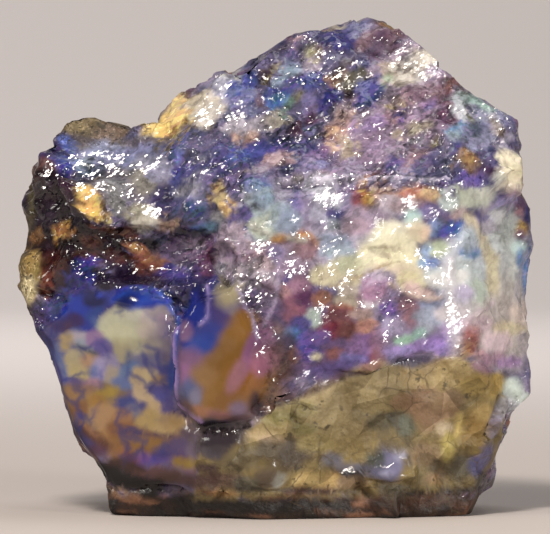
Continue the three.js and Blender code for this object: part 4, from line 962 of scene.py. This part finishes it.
# Fine clouds and dark flecks in the opal, and each shard's own tone. Pale colours are calmer.
light = node("ShaderNodeRGBToBW", {"Color": hue_node}).outputs[0]
wisps = product(ramp(noise(420, 5, 0.6), 0.36, 0.64, -0.22, 0.22), ramp(hackle_node, 0, 0.6, 0.3, 1))
specks = product(ramp(noise(1500, 3, 0.6), 0.35, 0.65, -0.2, 0.2), hackle_node)
tones = total(ramp(small_chance, 0, 1, -0.34, 0.20), ramp(wide_chance, 0, 1, -0.24, 0.12))
clouds = total(total(wisps, specks), product(tones, broken))
clouds = product(clouds, ramp(light, 0.28, 0.6, 1.0, 0.35))
turn = total(0.5, product(ramp(small_chance, 0, 1, -0.03, 0.03), broken))
clouded = toned(hue_node, turn, ramp(hackle_node, 0, 1, 1.0, 0.92), total(1.0, clouds))
flecks = product(ramp(noise(1300, 3, 0.7), 0.58, 0.66, 0, 0.6), hackle_node)
flecks = product(flecks, ramp(light, 0.12, 0.34, 1, 0))
colour = mixed(flecks, clouded, tinted(clouded, "#54405c"))

# Blue seams between the pale tiles of the window
seam = ramp(from_edge(pushed(300, 3, 0.0035), 330), 0.0, 0.22, 0.72, 0)
seam = product(product(seam, ramp(noise(190), 0.42, 0.56)), window_node)
colour = mixed(seam, colour, mixed(0.35, tinted(colour, "#8088c8"), paint("#343c88")))

# Rock and rind: each facet has its own tone, with clouds, pale grain, stains, cracks and pits
grain = noise(1700, 5, 0.6)
rock = mixed(ramp(noise(260, 6, 0.6), 0.42, 0.62, 0, 0.5), hue_node, tinted(hue_node, "#a0927a"))
rock = toned(rock, value=ramp(wide_chance, 0, 1, 0.74, 1.12))
rock = mixed(ramp(grain, 0.45, 0.75, 0, 0.45), rock, toned(rock, saturation=0.9, value=1.4))
stains = product(ramp(noise(900), 0.6, 0.7, 0, 0.8), ramp(noise(160), 0.45, 0.6))
rock = mixed(stains, rock, paint("#30281a"))
crack = ramp(from_edge(pushed(420, 2, 0.002), 230), 0, 0.035, 1, 0)
rock = mixed(product(crack, ramp(noise(120), 0.46, 0.6, 0, 0.7)), rock, paint("#4a3c28"))
grits = product(ramp(noise(2300, 2, 0.7), 0.55, 0.62, 0, 0.7), grainy_node)
rock = mixed(grits, rock, toned(rock, saturation=0.8, value=2.4))
pits = product(ramp(noise(1900, 2, 0.7), 0.56, 0.62, 0, 0.8), grainy_node)
rock = mixed(pits, rock, paint("#1c120c"))
colour = mixed(dull_node, colour, rock)
tree.links.new(colour, shader.inputs["Base Color"])

# Fine relief: most shards lean at random, and in the bright places some turn to a lamp
wide_part = product(total(broken, product(dull_node, 0.9)), 0.55)
leaning = vector("ADD", scaled(wide_lean, wide_part), scaled(small_lean, product(broken, 0.65)))
leaning = vector("ADD", leaning, scaled(tiny_lean, product(broken, 0.3)))
leaning = vector("ADD", upright_node, leaning)
turned = vector("ADD", scaled(small_lean, 0.05), scaled(tiny_lean, 0.08))
turned = vector("ADD", lit_node, turned)
flashes = product(when(small_chance, 0.28), when(tiny_chance, 0.9))
clusters = product(when(wide_chance, 0.35), when(tiny_chance, 0.5))
lit = larger(larger(flashes, clusters), when(tiny_chance, 0.045))
way = node("ShaderNodeMix", {"Factor": lit, 4: leaning, 5: turned}, data_type="VECTOR").outputs[1]
way = vector("NORMALIZE", way)

# Grain on the rock and rind, which are matt, and a thin gloss on the opal
coarse_grain = product(total(grain, product(noise(900, 3, 0.6), grainy_node)), dull_node)
relief = {"Height": coarse_grain, "Strength": 0.6, "Distance": 0.0003, "Normal": way}
tree.links.new(node("ShaderNodeBump", relief).outputs["Normal"], shader.inputs["Normal"])
skin = ramp(noise(260), 0.3, 0.7, 0.06, 0.16)
matt = product(dull_node, ramp(bright_node, 0, 1, 0.36, 0.08))
tree.links.new(total(matt, skin), shader.inputs["Roughness"])
shader.inputs["IOR"].default_value = 1.46
shader.inputs["Subsurface Weight"].default_value = 0.1
shader.inputs["Subsurface Radius"].default_value = (0.9, 0.8, 1.0)
shader.inputs["Subsurface Scale"].default_value = 0.0005
mesh.materials.append(finish)

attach(opal, "root")
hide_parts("opal")

# The floor is pale card that curves up behind the stone, lit softly from both sides. It is not part
# of the stone.
def select_edges(mesh, chosen):
    """In edit mode, selects the edges whose two ends are chosen by their place."""
    bpy.ops.mesh.select_all(action="DESELECT")
    bpy.ops.object.mode_set(mode="OBJECT")
    for edge in mesh.edges:
        edge.select = all(chosen(mesh.vertices[i].co) for i in edge.vertices)
    bpy.ops.object.mode_set(mode="EDIT")


bpy.ops.object.select_all(action="DESELECT")
bpy.ops.mesh.primitive_plane_add(size=3, location=(0, 0.4, 0))
card = bpy.context.object
card.name = "card"
bpy.ops.object.mode_set(mode="EDIT")
select_edges(card.data, lambda place: place.y > 0)
bpy.ops.mesh.extrude_region_move(TRANSFORM_OT_translate={"value": (0, 0, 2.2)})
select_edges(card.data, lambda place: place.y > 0 and place.z < 0.1)
bpy.ops.mesh.bevel(offset=0.9, segments=24, affect="EDGES")
bpy.ops.object.mode_set(mode="OBJECT")
bpy.ops.object.shade_smooth()
card_finish = bpy.data.materials.new("card")
card_finish.use_nodes = True
card_shader = card_finish.node_tree.nodes["Principled BSDF"]
card_shader.inputs["Base Color"].default_value = (*linear("#c8bfbb"), 1)
card_shader.inputs["Roughness"].default_value = 0.8
card.data.materials.append(card_finish)

# Small lamps in front, above and at the sides, one on the card behind, and a dim room
for name, spot_at, size, watts, tint in (
    ("key", key_at, 0.10, 2.5, "#fff6ea"),
    ("side", side_at, 0.12, 2.2, "#fffaf4"),
    ("left", (-0.42, -0.24, 0.20), 0.14, 0.8, "#fffaf2"),
    ("top", (0.16, 0.06, 0.6), 0.3, 0.7, "#ffffff"),
):
    lamp = bpy.data.lights.new(name, "AREA")
    lamp.size = size
    lamp.energy = watts
    lamp.color = linear(tint)
    holder = bpy.data.objects.new(name, lamp)
    holder.location = spot_at
    holder.rotation_euler = (look_at - Vector(spot_at)).to_track_quat("-Z", "Y").to_euler()
    bpy.context.collection.objects.link(holder)
wall_lamp = bpy.data.lights.new("wall", "AREA")
wall_lamp.size = 1.0
wall_lamp.energy = 15
wall_holder = bpy.data.objects.new("wall", wall_lamp)
wall_holder.location = (-0.2, 0.5, 0.9)
wall_holder.rotation_euler = Vector((0.1, 1.0, -0.5)).to_track_quat("-Z", "Y").to_euler()
bpy.context.collection.objects.link(wall_holder)
air = bpy.data.worlds.new("air")
air.use_nodes = True
air.node_tree.nodes["Background"].inputs["Color"].default_value = (*linear("#e6e1dc"), 1)
air.node_tree.nodes["Background"].inputs["Strength"].default_value = 0.16
bpy.context.scene.world = air
bpy.context.scene.view_settings.view_transform = "Standard"
